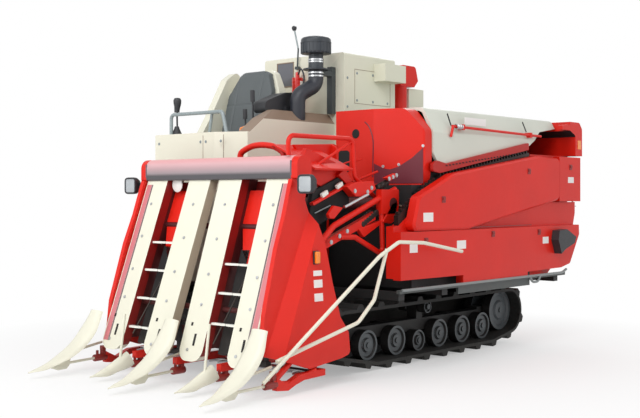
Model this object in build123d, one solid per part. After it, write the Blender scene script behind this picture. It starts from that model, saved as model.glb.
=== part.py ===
"""Four-row head-feeding rice combine on rubber crawlers, as separate nodes.

Millimetres. +X is the machine's left, -Y its front, +Z up; z = 0 is the ground under the lugs.
Points of an outline are (a, b) or (a, b, corner radius).
"""

import math
import os

from build123d import *

# ---- crawlers -------------------------------------------------------------------------------
TRACK_MID_X = -110.0        # the crawlers sit right of the middle, under the grain tank
TRACK_GAUGE = 1020.0
TRACK_WIDTH = 400.0
BELT = 20.0                 # rubber belt without its lugs
LUG_HEIGHT = 28.0
LUG_BASE = 74.0
LUG_TOP = 40.0
LINKS = 46                  # lugs stand left and right by turns
WHEEL_Z = LUG_HEIGHT + BELT # inner face of the ground run
SPROCKET_Y, SPROCKET_Z, SPROCKET_R = -600.0, 240.0, 130.0
IDLER_Y, IDLER_Z, IDLER_R = 1290.0, 235.0, 145.0
ROAD_WHEEL_R = 95.0
ROAD_WHEEL_YS = (-280.0, 20.0, 510.0, 790.0, 1050.0)
BOGIE_Y, BOGIE_R = 265.0, 70.0
CARRIER_Y, CARRIER_R = 370.0, 42.0
SEAT_GAP = 0.3              # gap of curved faces that seat on each other
PIN_GAP = 0.05              # radial running clearance of a pin in its hole
BEAM_HALF = 40.0            # half width of a crawler's beam
BEAM_Z = (170.0, 250.0)
DISC_X = (48.0, 112.0)      # a wheel's disc, out from the crawler's middle
AXLE_R = 18.0

# ---- chassis --------------------------------------------------------------------------------
RAIL_XS = (-310.0, 90.0)
RAIL_HALF = 35.0
RAIL_Z = (310.0, 450.0)
RAIL_Y = (-560.0, 1600.0)
DECK_Z = 500.0              # top of the cross channels, under every housing
CHANNEL_YS = (-350.0, 110.0, 620.0, 1130.0, 1560.0)
CHANNEL_HALF = 30.0
CHANNEL_X = (-890.0, 825.0)
CROSS_BEAM_YS = (150.0, 920.0)
CROSS_BEAM_Z = (175.0, 235.0)

# ---- thresher -------------------------------------------------------------------------------
CASE_X = (60.0, 740.0)
CASE_Y = (-130.0, 1330.0)
CASE_TOP = 1150.0
REAR_TOP = 1385.0           # top of the rear case, floor of the straw's way out
FRONT_REAR_Y = 60.0         # back of the closed front housing
DRUM_X, DRUM_Z = 400.0, 1360.0
DRUM_R = 150.0
TOOTH = 44.0
CONCAVE_R = 206.0
DRUM_Y = (84.0, 950.0)
DRUM_SHAFT_R = 25.0
BACK_WALL_Y = (980.0, 1010.0)
RIDGE_Z = 1640.0
COVER_WALL = 22.0
COVER_Y = (66.0, 1745.0)
SKIRT_X = 770.0             # outer face of the cover's skirt
FRONT_X = (123.0, 438.0)    # flat part of the front housing
FLANK_X = 850.0             # outer face of the left flank
RAIL_TOP = 514.0            # top of the light rail under the left flank
FLANK_INNER = 794.0         # face that carries the flank's covers

# ---- header ---------------------------------------------------------------------------------
HEAD_X = 10.0               # middle of the header
ROW = 367.5                 # distance from divider to divider
TIP_Y, TIP_Z = -1925.0, 45.0
PIVOT_Y, PIVOT_Z = -250.0, 1030.0
PIVOT_R = 40.0
BOOM_X = -60.0
BOOM_R = 60.0
FRAME_Y, FRAME_Z = -1000.0, 250.0


def outline(points):
    """Face inside a closed outline of (a, b) or (a, b, radius) points."""
    corners = [(p[0], p[1]) for p in points]
    radii = [p[2] if len(p) > 2 else 0 for p in points]
    return make_face(FilletPolyline(*corners, radius=radii, close=True))


def along_x(points, low, high):
    """Outline in (y, z) between two x."""
    return extrude(Plane.YZ.offset(low) * outline(points), amount=high - low)


def along_y(points, low, high):
    """Outline in (x, z) between two y."""
    return extrude(Plane.XZ.offset(-low) * outline(points), amount=low - high)


def along_z(points, low, high):
    """Outline in (x, y) between two z."""
    return extrude(Plane.XY.offset(low) * outline(points), amount=high - low)


def block(x, y, z):
    """Box from three (low, high) pairs."""
    middle = Pos((x[0] + x[1]) / 2, (y[0] + y[1]) / 2, (z[0] + z[1]) / 2)
    return middle * Box(x[1] - x[0], y[1] - y[0], z[1] - z[0])


def rod(start, end, radius):
    """Round bar from point to point."""
    run = Vector(*end) - Vector(*start)
    return extrude(Plane(origin=start, z_dir=run) * Circle(radius), amount=run.length)


def pipe(points, radius, bend):
    """Round bar along straight runs joined by arcs."""
    path = FilletPolyline(*points, radius=bend)
    return sweep(Plane(origin=path @ 0, z_dir=path % 0) * Circle(radius), path=path)


def around_x(profile, x, y, z):
    """Solid of revolution about a line along X; profile in (distance along X, radius)."""
    turned = Plane(origin=(x, y, z), x_dir=(1, 0, 0), z_dir=(0, -1, 0)) * outline(profile)
    return revolve(turned, axis=Axis((x, y, z), (1, 0, 0)))


def around_z(profile, x, y, z):
    """Solid of revolution about a vertical line; profile in (radius, height)."""
    turned = Plane(origin=(x, y, z), x_dir=(1, 0, 0), z_dir=(0, -1, 0)) * outline(profile)
    return revolve(turned, axis=Axis((x, y, z), (0, 0, 1)))


def node(*shapes):
    """One node of solids that don't touch."""
    return Compound([solid for shape in shapes for solid in shape.solids()])


def fuse(*shapes):
    """One solid from pieces welded together."""
    whole = shapes[0]
    for shape in shapes[1:]:
        whole = whole + shape
    return whole


# ---- hinges -----------------------------------------------------------------------------------

HINGE_PIN_R = 7.0
KNUCKLE_R = 13.0
DOOR_GAP = 6.0              # clearance round a door or lid


def knuckle_bore(solid, start, end):
    """Add a knuckle from start to end to a leaf and bore it for its pin."""
    return solid + rod(start, end, KNUCKLE_R) - rod(start, end, HINGE_PIN_R + PIN_GAP)


# ---- crawlers -------------------------------------------------------------------------------

TRACK_XS = (TRACK_MID_X + TRACK_GAUGE / 2, TRACK_MID_X - TRACK_GAUGE / 2)


def belt_hull(grow):
    """The belt's loop round sprocket, idler and the end road wheels."""
    ground_z = WHEEL_Z + ROAD_WHEEL_R
    wheels = (
        (SPROCKET_Y, SPROCKET_Z, SPROCKET_R),
        (IDLER_Y, IDLER_Z, IDLER_R),
        (ROAD_WHEEL_YS[0], ground_z, ROAD_WHEEL_R),
        (ROAD_WHEEL_YS[-1], ground_z, ROAD_WHEEL_R),
    )
    rings = [(Pos(y, z) * Circle(r + grow)).edge() for y, z, r in wheels]
    return make_hull(ShapeList(rings))


def track_loop(x):
    """Rubber belt with its lugs, half a pitch apart on its two halves."""
    outer = belt_hull(BELT)
    ring = outer - belt_hull(0)
    path = outer.face().outer_wire()
    middle = Vector((SPROCKET_Y + IDLER_Y) / 2, SPROCKET_Z)
    lug = outline([(-LUG_BASE / 2, -2), (LUG_BASE / 2, -2), (LUG_TOP / 2, LUG_HEIGHT),
                   (-LUG_TOP / 2, LUG_HEIGHT)])
    halves = []
    for side, low in ((0, x - TRACK_WIDTH / 2), (1, x)):
        profile = ring
        for number in range(side, LINKS, 2):
            place, ahead = path @ (number / LINKS), path % (number / LINKS)
            angle = math.degrees(math.atan2(ahead.Y, ahead.X))
            if (place - middle).dot(Vector(-ahead.Y, ahead.X)) < 0:
                angle += 180
            profile += Pos(place.X, place.Y) * Rot(0, 0, angle) * lug
        halves.append(extrude(Plane.YZ.offset(low) * profile, amount=TRACK_WIDTH / 2))
    return halves[0] + halves[1]


def wheel_pair(x, y, z, radius):
    """Two dished discs on one axle."""
    inner, outer = DISC_X
    dish = 14.0
    solid = rod((x - outer - 8, y, z), (x + outer + 8, y, z), AXLE_R)
    for way in (-1, 1):
        profile = [(way * inner, 0), (way * outer, 0), (way * outer, 0.42 * radius),
                   (way * (outer - dish), 0.5 * radius), (way * (outer - dish), 0.76 * radius),
                   (way * outer, 0.84 * radius), (way * outer, radius - SEAT_GAP),
                   (way * inner, radius - SEAT_GAP)]
        solid += around_x(profile, x, y, z)
    return solid


def axle_places():
    """(y, z, radius) of each wheel pair on a crawler's beam."""
    ground = [(y, WHEEL_Z + ROAD_WHEEL_R, ROAD_WHEEL_R) for y in ROAD_WHEEL_YS]
    top = SPROCKET_Z + SPROCKET_R + (IDLER_Z + IDLER_R - SPROCKET_Z - SPROCKET_R) * (
        CARRIER_Y - SPROCKET_Y) / (IDLER_Y - SPROCKET_Y)
    return ground + [
        (BOGIE_Y, WHEEL_Z + BOGIE_R, BOGIE_R),
        (CARRIER_Y, top - CARRIER_R, CARRIER_R),
        (IDLER_Y, IDLER_Z, IDLER_R),
    ]


def sprocket(x):
    """Toothed drive wheel inside the front of the loop."""
    teeth = 9
    wheel = Circle(SPROCKET_R - SEAT_GAP)
    notch = Pos(SPROCKET_R, 0) * Circle(0.19 * SPROCKET_R)
    for number in range(teeth):
        wheel -= Rot(0, 0, 360 * number / teeth) * notch
    place = Plane.YZ.offset(x - 22) * Pos(SPROCKET_Y, SPROCKET_Z)
    return extrude(place * wheel, amount=44) + rod(
        (x - 60, SPROCKET_Y, SPROCKET_Z), (x + 60, SPROCKET_Y, SPROCKET_Z), 48)


def rollers(x):
    """All wheels inside one belt."""
    return node(*[wheel_pair(x, *place) for place in axle_places()], sprocket(x))


def track_beam(x):
    """Beam between the discs, with a hanger for each axle."""
    across = (x - BEAM_HALF, x + BEAM_HALF)
    beam = block(across, (-400, 1130), BEAM_Z)
    for y, z, radius in axle_places():
        if radius == IDLER_R:
            beam += block(across, (1090, y + 34), (z - 34, z + 34))
        else:
            beam += block(across, (y - 34, y + 34), (min(z - 34, BEAM_Z[0]), max(z + 30, BEAM_Z[1])))
    for y, z, _ in axle_places():
        beam -= rod((x - 60, y, z), (x + 60, y, z), AXLE_R + PIN_GAP)
    return beam


def final_drive():
    """Gearbox between the rails and the casings of its two axles."""
    y, z = SPROCKET_Y, SPROCKET_Z
    box = block((RAIL_XS[0] + 85, RAIL_XS[1] - 85), (y - 65, y + 100), (z - 90, DECK_Z))
    for x, way in zip(TRACK_XS, (1, -1)):
        box += rod((TRACK_MID_X, y, z), (x - way * 60, y, z), 55)
    return box


# ---- chassis --------------------------------------------------------------------------------

EYE_R = 14.0                # holes of the tow eye and the lashing eye
EYE_T = 16.0
TOW_EYE = (TRACK_MID_X, 1626.0, 380.0)
LASHING_EYE = (RAIL_XS[0], 1626.0, 380.0)


def eye(place, reach):
    """Eye plate with its hole along X; it reaches along Y to the frame."""
    x, y, z = place
    low, high = sorted((y + reach, y))
    plate = block((x - EYE_T / 2, x + EYE_T / 2), (low, high), (z - 24, z + 24))
    plate += rod((x - EYE_T / 2, y, z), (x + EYE_T / 2, y, z), 30)
    return plate - rod((x - EYE_T, y, z), (x + EYE_T, y, z), EYE_R)


def chassis_frame():
    """Rails with their cross beams between the crawlers."""
    inner = (TRACK_XS[1] + BEAM_HALF, TRACK_XS[0] - BEAM_HALF)
    frame = block((RAIL_XS[0], RAIL_XS[1]), (-500, -440), RAIL_Z)
    for x in RAIL_XS:
        frame += block((x - RAIL_HALF, x + RAIL_HALF), RAIL_Y, RAIL_Z)
    for y in CROSS_BEAM_YS:
        frame += block(inner, (y - 25, y + 25), CROSS_BEAM_Z)
        for x in RAIL_XS:
            frame += block((x - RAIL_HALF, x + RAIL_HALF), (y - 25, y + 25),
                           (CROSS_BEAM_Z[1], RAIL_Z[0]))
    frame += block((RAIL_XS[0], RAIL_XS[1]), (RAIL_Y[1] - 60, RAIL_Y[1]), RAIL_Z)
    return frame + eye(TOW_EYE, -40) + eye(LASHING_EYE, -40)


def cross_channels():
    """Channels across the rails; every housing stands on them."""
    return node(*[block(CHANNEL_X, (y - CHANNEL_HALF, y + CHANNEL_HALF), (RAIL_Z[1], DECK_Z))
                  for y in CHANNEL_YS])


STAND_XS = (-180.0, 60.0)   # one each side of the header's boom
STAND_HALF = 25.0


def header_stands():
    """Two posts with the bearings of the header's pivot."""
    front, rear = CHANNEL_YS[0] - CHANNEL_HALF, CHANNEL_YS[0] + CHANNEL_HALF
    posts = []
    for x in STAND_XS:
        post = along_x([(front, DECK_Z), (rear + 120, DECK_Z), (PIVOT_Y + 75, PIVOT_Z, 30),
                        (PIVOT_Y + 60, PIVOT_Z + 70, 40), (PIVOT_Y - 60, PIVOT_Z + 70, 40),
                        (PIVOT_Y - 75, PIVOT_Z, 30)], x - STAND_HALF, x + STAND_HALF)
        posts.append(post - rod((x - 60, PIVOT_Y, PIVOT_Z), (x + 60, PIVOT_Y, PIVOT_Z),
                                PIVOT_R + PIN_GAP))
    return node(*posts)


def side_rail():
    """Light guard rail under the left flank, and its deeper channel."""
    rail = block((CHANNEL_X[1], FLANK_X), (-400, 1660), (RAIL_TOP - 22, RAIL_TOP))
    return rail + block((CHANNEL_X[1], FLANK_X - 8), (240, 1150), (448, RAIL_TOP - 22))


# ---- thresher -------------------------------------------------------------------------------

def thresher_case():
    """Closed sieve case under the threshing chamber."""
    return block(CASE_X, CASE_Y, (DECK_Z, CASE_TOP))


def thresher_front():
    """Closed front housing; its left half is swept back."""
    left = CASE_X[1] + 20
    plan = [(FRONT_X[0], CASE_Y[0]), (FRONT_X[1], CASE_Y[0]), (left, -20, 20), (left, FRONT_REAR_Y),
            (CASE_X[0], FRONT_REAR_Y), (CASE_X[0], -20), (FRONT_X[0], -20)]
    face = [(CASE_X[0], CASE_TOP), (CASE_X[1], CASE_TOP), (left, 1290, 30), (left, 1500, 60),
            (640, RIDGE_Z, 80), (CASE_X[0], RIDGE_Z, 60)]
    solid = along_z(plan, CASE_TOP, RIDGE_Z) & along_y(face, CASE_Y[0] - 10, FRONT_REAR_Y)
    return solid - rod((DRUM_X, FRONT_REAR_Y - 40, DRUM_Z), (DRUM_X, FRONT_REAR_Y, DRUM_Z),
                       DRUM_SHAFT_R + PIN_GAP)


def threshing_chamber():
    """Concave trough, back wall and the right wall that runs on to the straw hood."""
    right, left = CASE_X
    wall_top = RIDGE_Z - 40
    trough = block(CASE_X, (FRONT_REAR_Y, BACK_WALL_Y[1]), (CASE_TOP, DRUM_Z))
    wall = along_x([(FRONT_REAR_Y, CASE_TOP), (CASE_Y[1], CASE_TOP), (CASE_Y[1], REAR_TOP),
                    (COVER_Y[1], REAR_TOP), (COVER_Y[1], wall_top), (FRONT_REAR_Y, wall_top)],
                   right, right + 35)
    back = along_y([(right, DRUM_Z), (left, DRUM_Z), (left - 4, RIDGE_Z - 175), (left - 80, wall_top, 20),
                    (right, wall_top)], *BACK_WALL_Y)
    hollow = rod((DRUM_X, FRONT_REAR_Y, DRUM_Z), (DRUM_X, BACK_WALL_Y[0], DRUM_Z), CONCAVE_R)
    bore = rod((DRUM_X, BACK_WALL_Y[0], DRUM_Z), (DRUM_X, BACK_WALL_Y[1], DRUM_Z),
               DRUM_SHAFT_R + PIN_GAP)
    return trough + wall + back - hollow - bore


def threshing_drum():
    """Drum with rows of wire teeth, on its shaft."""
    drum = rod((DRUM_X, DRUM_Y[0], DRUM_Z), (DRUM_X, DRUM_Y[1], DRUM_Z), DRUM_R)
    drum += rod((DRUM_X, FRONT_REAR_Y - 38, DRUM_Z), (DRUM_X, BACK_WALL_Y[1], DRUM_Z),
                DRUM_SHAFT_R)
    rows, per_row = 6, 8
    pitch = (DRUM_Y[1] - DRUM_Y[0]) / per_row
    for row in range(rows):
        for number in range(per_row):
            y = DRUM_Y[0] + pitch * (number + 0.3 + 0.4 * (row % 2))
            tooth = block((-5, 5), (-16, 16), (DRUM_R - 4, DRUM_R + TOOTH))
            drum += Pos(DRUM_X, y, DRUM_Z) * Rot(0, 360 * row / rows, 0) * tooth
    return drum


def over_chain(y, lift):
    """(y, z) at a height over the feed chain's straight run past the drum."""
    (y0, z0), (y1, z1) = CHAIN_LINE[-2:]
    return y, z0 + (z1 - z0) * (y - y0) / (y1 - y0) + lift


def cover_side():
    """Outline of the cover seen from the left: front, belly, skirt over the chain, straw opening."""
    roof, front, rear = RIDGE_Z + 30, COVER_Y[0], COVER_Y[1]
    return [(front, roof), (*over_chain(front, 158), 20), (*over_chain(front + 50, 82), 60),
            (*over_chain(front + 115, 57), 40), over_chain(1274, 46), (*over_chain(1386, 89), 30),
            (*over_chain(1477, 122), 30), over_chain(rear, 114), (rear, roof)]


def cover_section(wall):
    """Section across the cover, in (x, z), thinner by a wall on each side."""
    right, left, top = CASE_X[0] + 10 + wall, SKIRT_X - wall, RIDGE_Z + 12 - wall
    return [(right, CASE_TOP), (left, CASE_TOP), (left, RIDGE_Z - 150 - wall / 2, 30),
            (SKIRT_X - 84 - wall / 2, top, 45), (right, top, 12)]


def thresher_cover():
    """Bent sheet cover over the drum; its lower edge clears the feed chain."""
    shell = along_y(cover_section(0), *COVER_Y)
    shell -= along_y(cover_section(COVER_WALL), COVER_Y[0] - 5, COVER_Y[1] + 5)
    left = along_x(cover_side(), DRUM_X, SKIRT_X + 20)
    right = block((CASE_X[0], DRUM_X), COVER_Y, (RIDGE_Z - 38, RIDGE_Z + 30))
    return shell & (left + right)


def clamp_rail():
    """Rail that holds the stalks on the chain, outside the cover's skirt, with its nose."""
    start, end = 110, 1228
    shape = [over_chain(start, 22), over_chain(end, 22), (*over_chain(end, 72), 12),
             over_chain(start + 70, 72), (*over_chain(start - 30, 106), 16),
             (*over_chain(start - 80, 96), 16), (*over_chain(start - 80, 46), 16)]
    return along_x(shape, SKIRT_X, SKIRT_X + 22)


COVER_PIN = (48.0, 1628.0)       # x and z of the cover's pin
COVER_KNUCKLE_Y = (300.0, 800.0)


def cover_hinge():
    """Pin of the cover with two lugs on the chamber's right wall."""
    x, z = COVER_PIN
    low, high = COVER_KNUCKLE_Y
    pin = rod((x, low - 20, z), (x, high + 20, z), HINGE_PIN_R)
    for y in (low - 20, high + 6):
        pin += block((x - 12, CASE_X[0] + 2), (y, y + 14), (1540, z + 12))
    return pin


def cover_knuckle(cover):
    """The cover with its knuckle."""
    x, z = COVER_PIN
    cover += block((x, CASE_X[0] + 12), COVER_KNUCKLE_Y, (z - 6, z + 6))
    return knuckle_bore(cover, (x, COVER_KNUCKLE_Y[0], z), (x, COVER_KNUCKLE_Y[1], z))


def cover_rod():
    """Torque rod of the cover's latches, in two brackets on the skirt, with its handle."""
    x, start, end = SKIRT_X + 12, (262, 1535), (1417, 1517)
    bar = rod((x, *start), (x, *end), 9)
    for y, z in ((380, 1533), (1261, 1519)):
        bar += block((SKIRT_X - 40, x + 12), (y - 14, y + 14), (z - 18, z + 18)) - along_y(
            cover_section(0), *COVER_Y)
    return bar + rod((x, start[0] + 9, start[1]), (x, start[0] - 18, start[1] - 70), 9)


# ---- flank and rear -------------------------------------------------------------------------

CHAIN_X = (752.0, 786.0)
CHAIN_DEPTH = 60.0
# upper face of the feed chain, as (y, z)
CHAIN_LINE = [(-330, 960), (-60, 1125), (110, 1205), (1240, 1392)]


def band(line, below, above):
    """Closed outline of a band under and over a line of (y, z) points."""
    return [(y, z + above) for y, z in line] + [(y, z - below) for y, z in reversed(line)]


def feed_chain():
    """Toothed chain that carries the stalks past the drum."""
    chain = along_x(band(CHAIN_LINE, CHAIN_DEPTH, 0), *CHAIN_X)
    pitch = 38.0
    for (y0, z0), (y1, z1) in zip(CHAIN_LINE, CHAIN_LINE[1:]):
        length = math.hypot(y1 - y0, z1 - z0)
        for number in range(int(length / pitch)):
            share = (number + 0.5) * pitch / length
            tooth = [(-12, -3), (12, -3), (5, 16), (-2, 16)]
            angle = math.degrees(math.atan2(z1 - z0, y1 - y0))
            place = Pos(0, y0 + (y1 - y0) * share, z0 + (z1 - z0) * share) * Rot(angle, 0, 0)
            chain += place * along_x(tooth, CHAIN_X[0] + 6, CHAIN_X[1] - 6)
    return chain


def upper_side_cover():
    """Lift-off cover of the belt drives, with a bevelled rim."""
    shape = [(-285, 866, 40), (-215, 1075, 50), (165, 1222, 90), (1246, 1366, 60),
             (1565, 1355, 30), (1565, 1053, 40), (342, 863, 120)]
    return chamfered(along_x(shape, FLANK_INNER, FLANK_X + 12), FLANK_X + 12, 14)


def chamfered(solid, x, size):
    """Bevel of every edge of the face at the given x."""
    edges = [edge for edge in solid.edges() if abs(edge.center().X - x) < 0.01]
    return chamfer(ShapeList(edges), size)


def lower_side_panel():
    """Lower covers in one plane, with a step under the front one."""
    shape = [(-390, 572), (287, 568), (287, RAIL_TOP), (1110, RAIL_TOP), (1110, 545), (1600, 550, 20),
             (1738, 575, 30), (1885, 790), (1880, 862), (-390, 862)]
    return along_x(shape, FLANK_INNER, FLANK_X)


def rear_case():
    """Closed case of the straw cutter behind the thresher."""
    shape = [(CASE_Y[1], DECK_Z), (1590, DECK_Z, 30), (1720, 585, 30), (1878, 800), (1905, 1000),
             (1910, REAR_TOP), (CASE_Y[1], REAR_TOP)]
    return along_x(shape, *CASE_X)


def straw_hood():
    """Open hood over the straw outlet: roof, rear wall and the lip over the opening."""
    front, rear, left = COVER_Y[1] + 7, 1945.0, FLANK_X - 6
    shape = [(front, REAR_TOP), (rear, REAR_TOP), (rear, RIDGE_Z - 50, 30), (rear - 45, RIDGE_Z, 40),
             (front, RIDGE_Z)]
    hollow = [(front - 5, REAR_TOP - 5), (front + 85, REAR_TOP - 5), (front + 85, RIDGE_Z - 100, 30),
              (front - 5, RIDGE_Z - 65)]
    lip = along_x([(front - 121, RIDGE_Z - 65), (front - 121, RIDGE_Z - 33), (front, RIDGE_Z - 18),
                   (front, RIDGE_Z - 65)], left - 44, left)
    return along_x(shape, CASE_X[0], left) - along_x(hollow, CASE_X[0] + 30, left + 5) + lip


# ---- right side -----------------------------------------------------------------------------

TANK_X = (-775.0, -15.0)
TANK_Y = (120.0, 700.0)
TANK_Z = (1150.0, 2075.0)
BASE_X = (-860.0, 55.0)
BASE_Y = (120.0, 1500.0)


def grain_tank():
    """Grain tank on its base with the levelling auger's box; behind it the straw side's box."""
    low, top = TANK_Z
    face = [(TANK_X[0] + 120, low), (TANK_X[1], low), (TANK_X[1], top, 18), (TANK_X[0], top, 18),
            (TANK_X[0], low + 260)]
    auger_box = block((TANK_X[1], TANK_X[1] + 100), (TANK_Y[1] - 244, TANK_Y[1]), (top - 177, top - 54))
    rear_box = block((TANK_X[1] - 245, TANK_X[1] - 20), (ELEVATOR_Y + 70, ELEVATOR_Y + 257),
                     (low, top - 190))
    return node(along_y(face, *TANK_Y) + auger_box, rear_box)


def tank_base():
    """Closed base under the tank with the grain augers."""
    return block(BASE_X, BASE_Y, (DECK_Z, TANK_Z[0]))


ELEVATOR_Y = 830.0
ELEVATOR_R = 55.0


def grain_elevator():
    """Grain elevator behind the tank, with its head."""
    x, y, top = TANK_X[1] - ELEVATOR_R, ELEVATOR_Y, TANK_Z[1] - 180
    head = along_x([(y - 59, top), (y + 112, top), (y + 160, top + 50), (y + 128, top + 155, 30),
                    (y - 59, top + 155, 30)], x - 70, x + ELEVATOR_R)
    return rod((x, y, TANK_Z[0]), (x, y, top), ELEVATOR_R) + head


SPOUT_YS = (270.0, 560.0)


def bagging_spouts():
    """Two bagging spouts under the tank's sloped side."""
    side = [(TANK_X[0], TANK_Z[0] + 260), (BASE_X[0] - 40, 1310, 20), (BASE_X[0] - 40, 1190, 20), (BASE_X[0], TANK_Z[0]),
            (TANK_X[0] + 120, TANK_Z[0])]
    return node(*[along_y(side, y - 75, y + 75) for y in SPOUT_YS])


PLATFORM_PIN = (-882.0, 520.0)  # x and z of the folding platform's pin
PLATFORM_Y = (210.0, 890.0)


def bag_platform():
    """Platform for the sacks, folded up against the base."""
    x, z = PLATFORM_PIN
    leaf = block((x - 14, x + 14), PLATFORM_Y, (z + 6, z + 330))
    return knuckle_bore(leaf, (x, PLATFORM_Y[0], z), (x, PLATFORM_Y[1], z))


def platform_hinge():
    """Pin and end lugs of the platform, on the base's lower edge."""
    x, z = PLATFORM_PIN
    pin = rod((x, PLATFORM_Y[0] - 20, z), (x, PLATFORM_Y[1] + 20, z), HINGE_PIN_R)
    for y in (PLATFORM_Y[0] - 20, PLATFORM_Y[1] + 6):
        pin += block((x - 14, BASE_X[0]), (y, y + 14), (z - 14, z + 14))
    return pin


ENGINE_X = (-770.0, -250.0)
ENGINE_TOP = 1060.0
RADIATOR_X = (-862.0, -790.0)
RADIATOR_Y = (-345.0, 105.0)
SCREEN_X = (-896.0, -872.0)
SCREEN_Y = (-335.0, 92.0)
SCREEN_Z = (560.0, 1035.0)
SCREEN_PIN = (-884.0, 106.0)    # x and y of the screen's pin


def engine():
    """Engine block on the cross channels, and the radiator beside it."""
    return node(block(ENGINE_X, (-345, 110), (DECK_Z, ENGINE_TOP)),
                block(RADIATOR_X, RADIATOR_Y, (DECK_Z, ENGINE_TOP + 5)))


def radiator_screen():
    """Hinged screen door outside the radiator."""
    x, y = SCREEN_PIN
    leaf = block(SCREEN_X, SCREEN_Y, SCREEN_Z)
    leaf += block((SCREEN_X[0] + 6, SCREEN_X[1] - 6), (SCREEN_Y[1], y), SCREEN_Z)
    return knuckle_bore(leaf, (x, y, SCREEN_Z[0]), (x, y, SCREEN_Z[1]))


def screen_hinge():
    """Pin of the screen door with two lugs on the tank base's front."""
    x, y = SCREEN_PIN
    low, high = SCREEN_Z[0] - DOOR_GAP - 14, SCREEN_Z[1] + DOOR_GAP + 14
    pin = rod((x, y, low), (x, y, high), HINGE_PIN_R)
    for z in (low, high - 14):
        pin += block((x - 10, BASE_X[0] + 20), (y - 10, BASE_Y[0]), (z, z + 14)) - block(
            RADIATOR_X, RADIATOR_Y, (DECK_Z, ENGINE_TOP + 5))
    return pin


# ---- operator's place -----------------------------------------------------------------------

CONSOLE_X = (-880.0, -300.0)
CONSOLE_Y = (-835.0, -690.0)
CONSOLE_Z = 1490.0
SIDE_BOX_X = (-209.0, -100.0)
SIDE_BOX_LOW = 1120.0
SIDE_BOX_TOP = 1650.0
GATE_Y = -540.0             # middle of the block that carries levers and beacon
COVER_X = (-900.0, -215.0)
COVER_TOP = 1200.0
SEAT_PIN = (-352.0, 1092.0)     # y and z of the seat cover's pin


def operator_deck():
    """Floor with a raised front edge and the step beside it."""
    floor = block((-930, -230), (-835, -345), (DECK_Z, DECK_Z + 25))
    return floor + block((-930, -900), (-800, -380), (DECK_Z - 150, DECK_Z))


def console():
    """Front console, corner panel, lever gate and the box left of the seat."""
    front, back = CONSOLE_Y
    right, left = SIDE_BOX_X
    wall = block(CONSOLE_X, (front, front + 30), (DECK_Z + 25, CONSOLE_Z))
    top = along_x([(front, CONSOLE_Z - 120), (back, CONSOLE_Z - 60, 10), (back, CONSOLE_Z, 10),
                   (front, CONSOLE_Z, 14)], *CONSOLE_X)
    corner = along_z([(CONSOLE_X[1], front), (left, front + 100), (left, back), (CONSOLE_X[1], back)],
                     SIDE_BOX_LOW, CONSOLE_Z)
    box = along_x([(front + 100, SIDE_BOX_LOW), (TANK_Y[0], SIDE_BOX_LOW), (TANK_Y[0], SIDE_BOX_TOP),
                   (-441, SIDE_BOX_TOP), (-580, SIDE_BOX_TOP - 62), (front + 100, CONSOLE_Z - 16)],
                  right, left)
    box &= along_y([(right, SIDE_BOX_LOW), (left, SIDE_BOX_LOW), (left, SIDE_BOX_TOP - 70),
                    (left - 60, SIDE_BOX_TOP), (right, SIDE_BOX_TOP)], front, TANK_Y[0])
    gate = block((right - 136, right), (GATE_Y - 110, GATE_Y + 110), (CONSOLE_Z - 70, CONSOLE_Z - 10))
    return fuse(wall, top, corner, box, gate)


def engine_cover():
    """Bridge over the engine that carries the seat and tilts forward with it."""
    y, z = SEAT_PIN
    leaf = block(COVER_X, (-345, 110), (1070, COVER_TOP))
    leaf -= block((COVER_X[0] - 1, COVER_X[1] + 1), (-346, -315), (1069, 1120))
    leaf += block((-700, -400), (y, -315), (z, 1120))
    return knuckle_bore(leaf, (-700, y, z), (-400, y, z))


def seat_hinge():
    """Pin of the seat cover on two posts from the floor."""
    y, z = SEAT_PIN
    pin = rod((-730, y, z), (-370, y, z), HINGE_PIN_R)
    for x in (-730, -394):
        pin += block((x, x + 24), (y - 13, y + 13), (DECK_Z + 25, z + 13)) - block(
            (-800, -200), (-345, 110), (DECK_Z, ENGINE_TOP))
    return pin


SEAT_X = (-835.0, -357.0)
WING_X = (-900.0, -835.0)       # side wing right of the seat
ARM_PAD_X = (-340.0, -230.0)
SEAT_TOP = 1965.0


def seat_shell():
    """Moulded seat: pan, high raked back and the wing on its right."""
    low = COVER_TOP
    side = [(-345, low), (-180, low, 30), (-80, SEAT_TOP - 15, 20), (-123, SEAT_TOP, 12),
            (-230, 1560, 200), (-285, 1335, 30), (-600, 1290, 12), (-612, 1258, 12), (-345, low + 40)]
    face = [(SEAT_X[0], low), (SEAT_X[1], low), (SEAT_X[1], 1800, 120), (-450, SEAT_TOP, 90),
            (-720, SEAT_TOP, 60), (SEAT_X[0], 1800)]
    wing = [(-345, low), (-440, 1527), (-364, 1645), (-207, 1915, 60), (-113, 1976, 40), (-80, 1950),
            (-180, low, 30)]
    back = along_x(side, *SEAT_X) & along_y(face, -700, 0)
    return back + along_x(wing, *WING_X)


def seat_cushions():
    """Seat cushion and back pad."""
    inset = 12
    seat = along_x([(-600, 1291), (-322, 1331), (-294, 1400, 20), (-605, 1365, 30)],
                   SEAT_X[0] + inset, SEAT_X[1] - inset)
    back = along_x([(-269.1, 1402), (-230.4, 1560, 200), (-123.4, SEAT_TOP, 12), (-180, SEAT_TOP + 8, 20),
                    (-290, 1560, 200), (-340, 1402, 20)], *SEAT_X)
    back &= along_y([(SEAT_X[0] + inset, 1300), (SEAT_X[1] - inset, 1300), (SEAT_X[1] - inset, 1800, 120),
                     (-455, SEAT_TOP + 5, 90), (-720, SEAT_TOP + 5, 60), (SEAT_X[0] + inset, 1790)], -700, 0)
    return node(seat, back)


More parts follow.
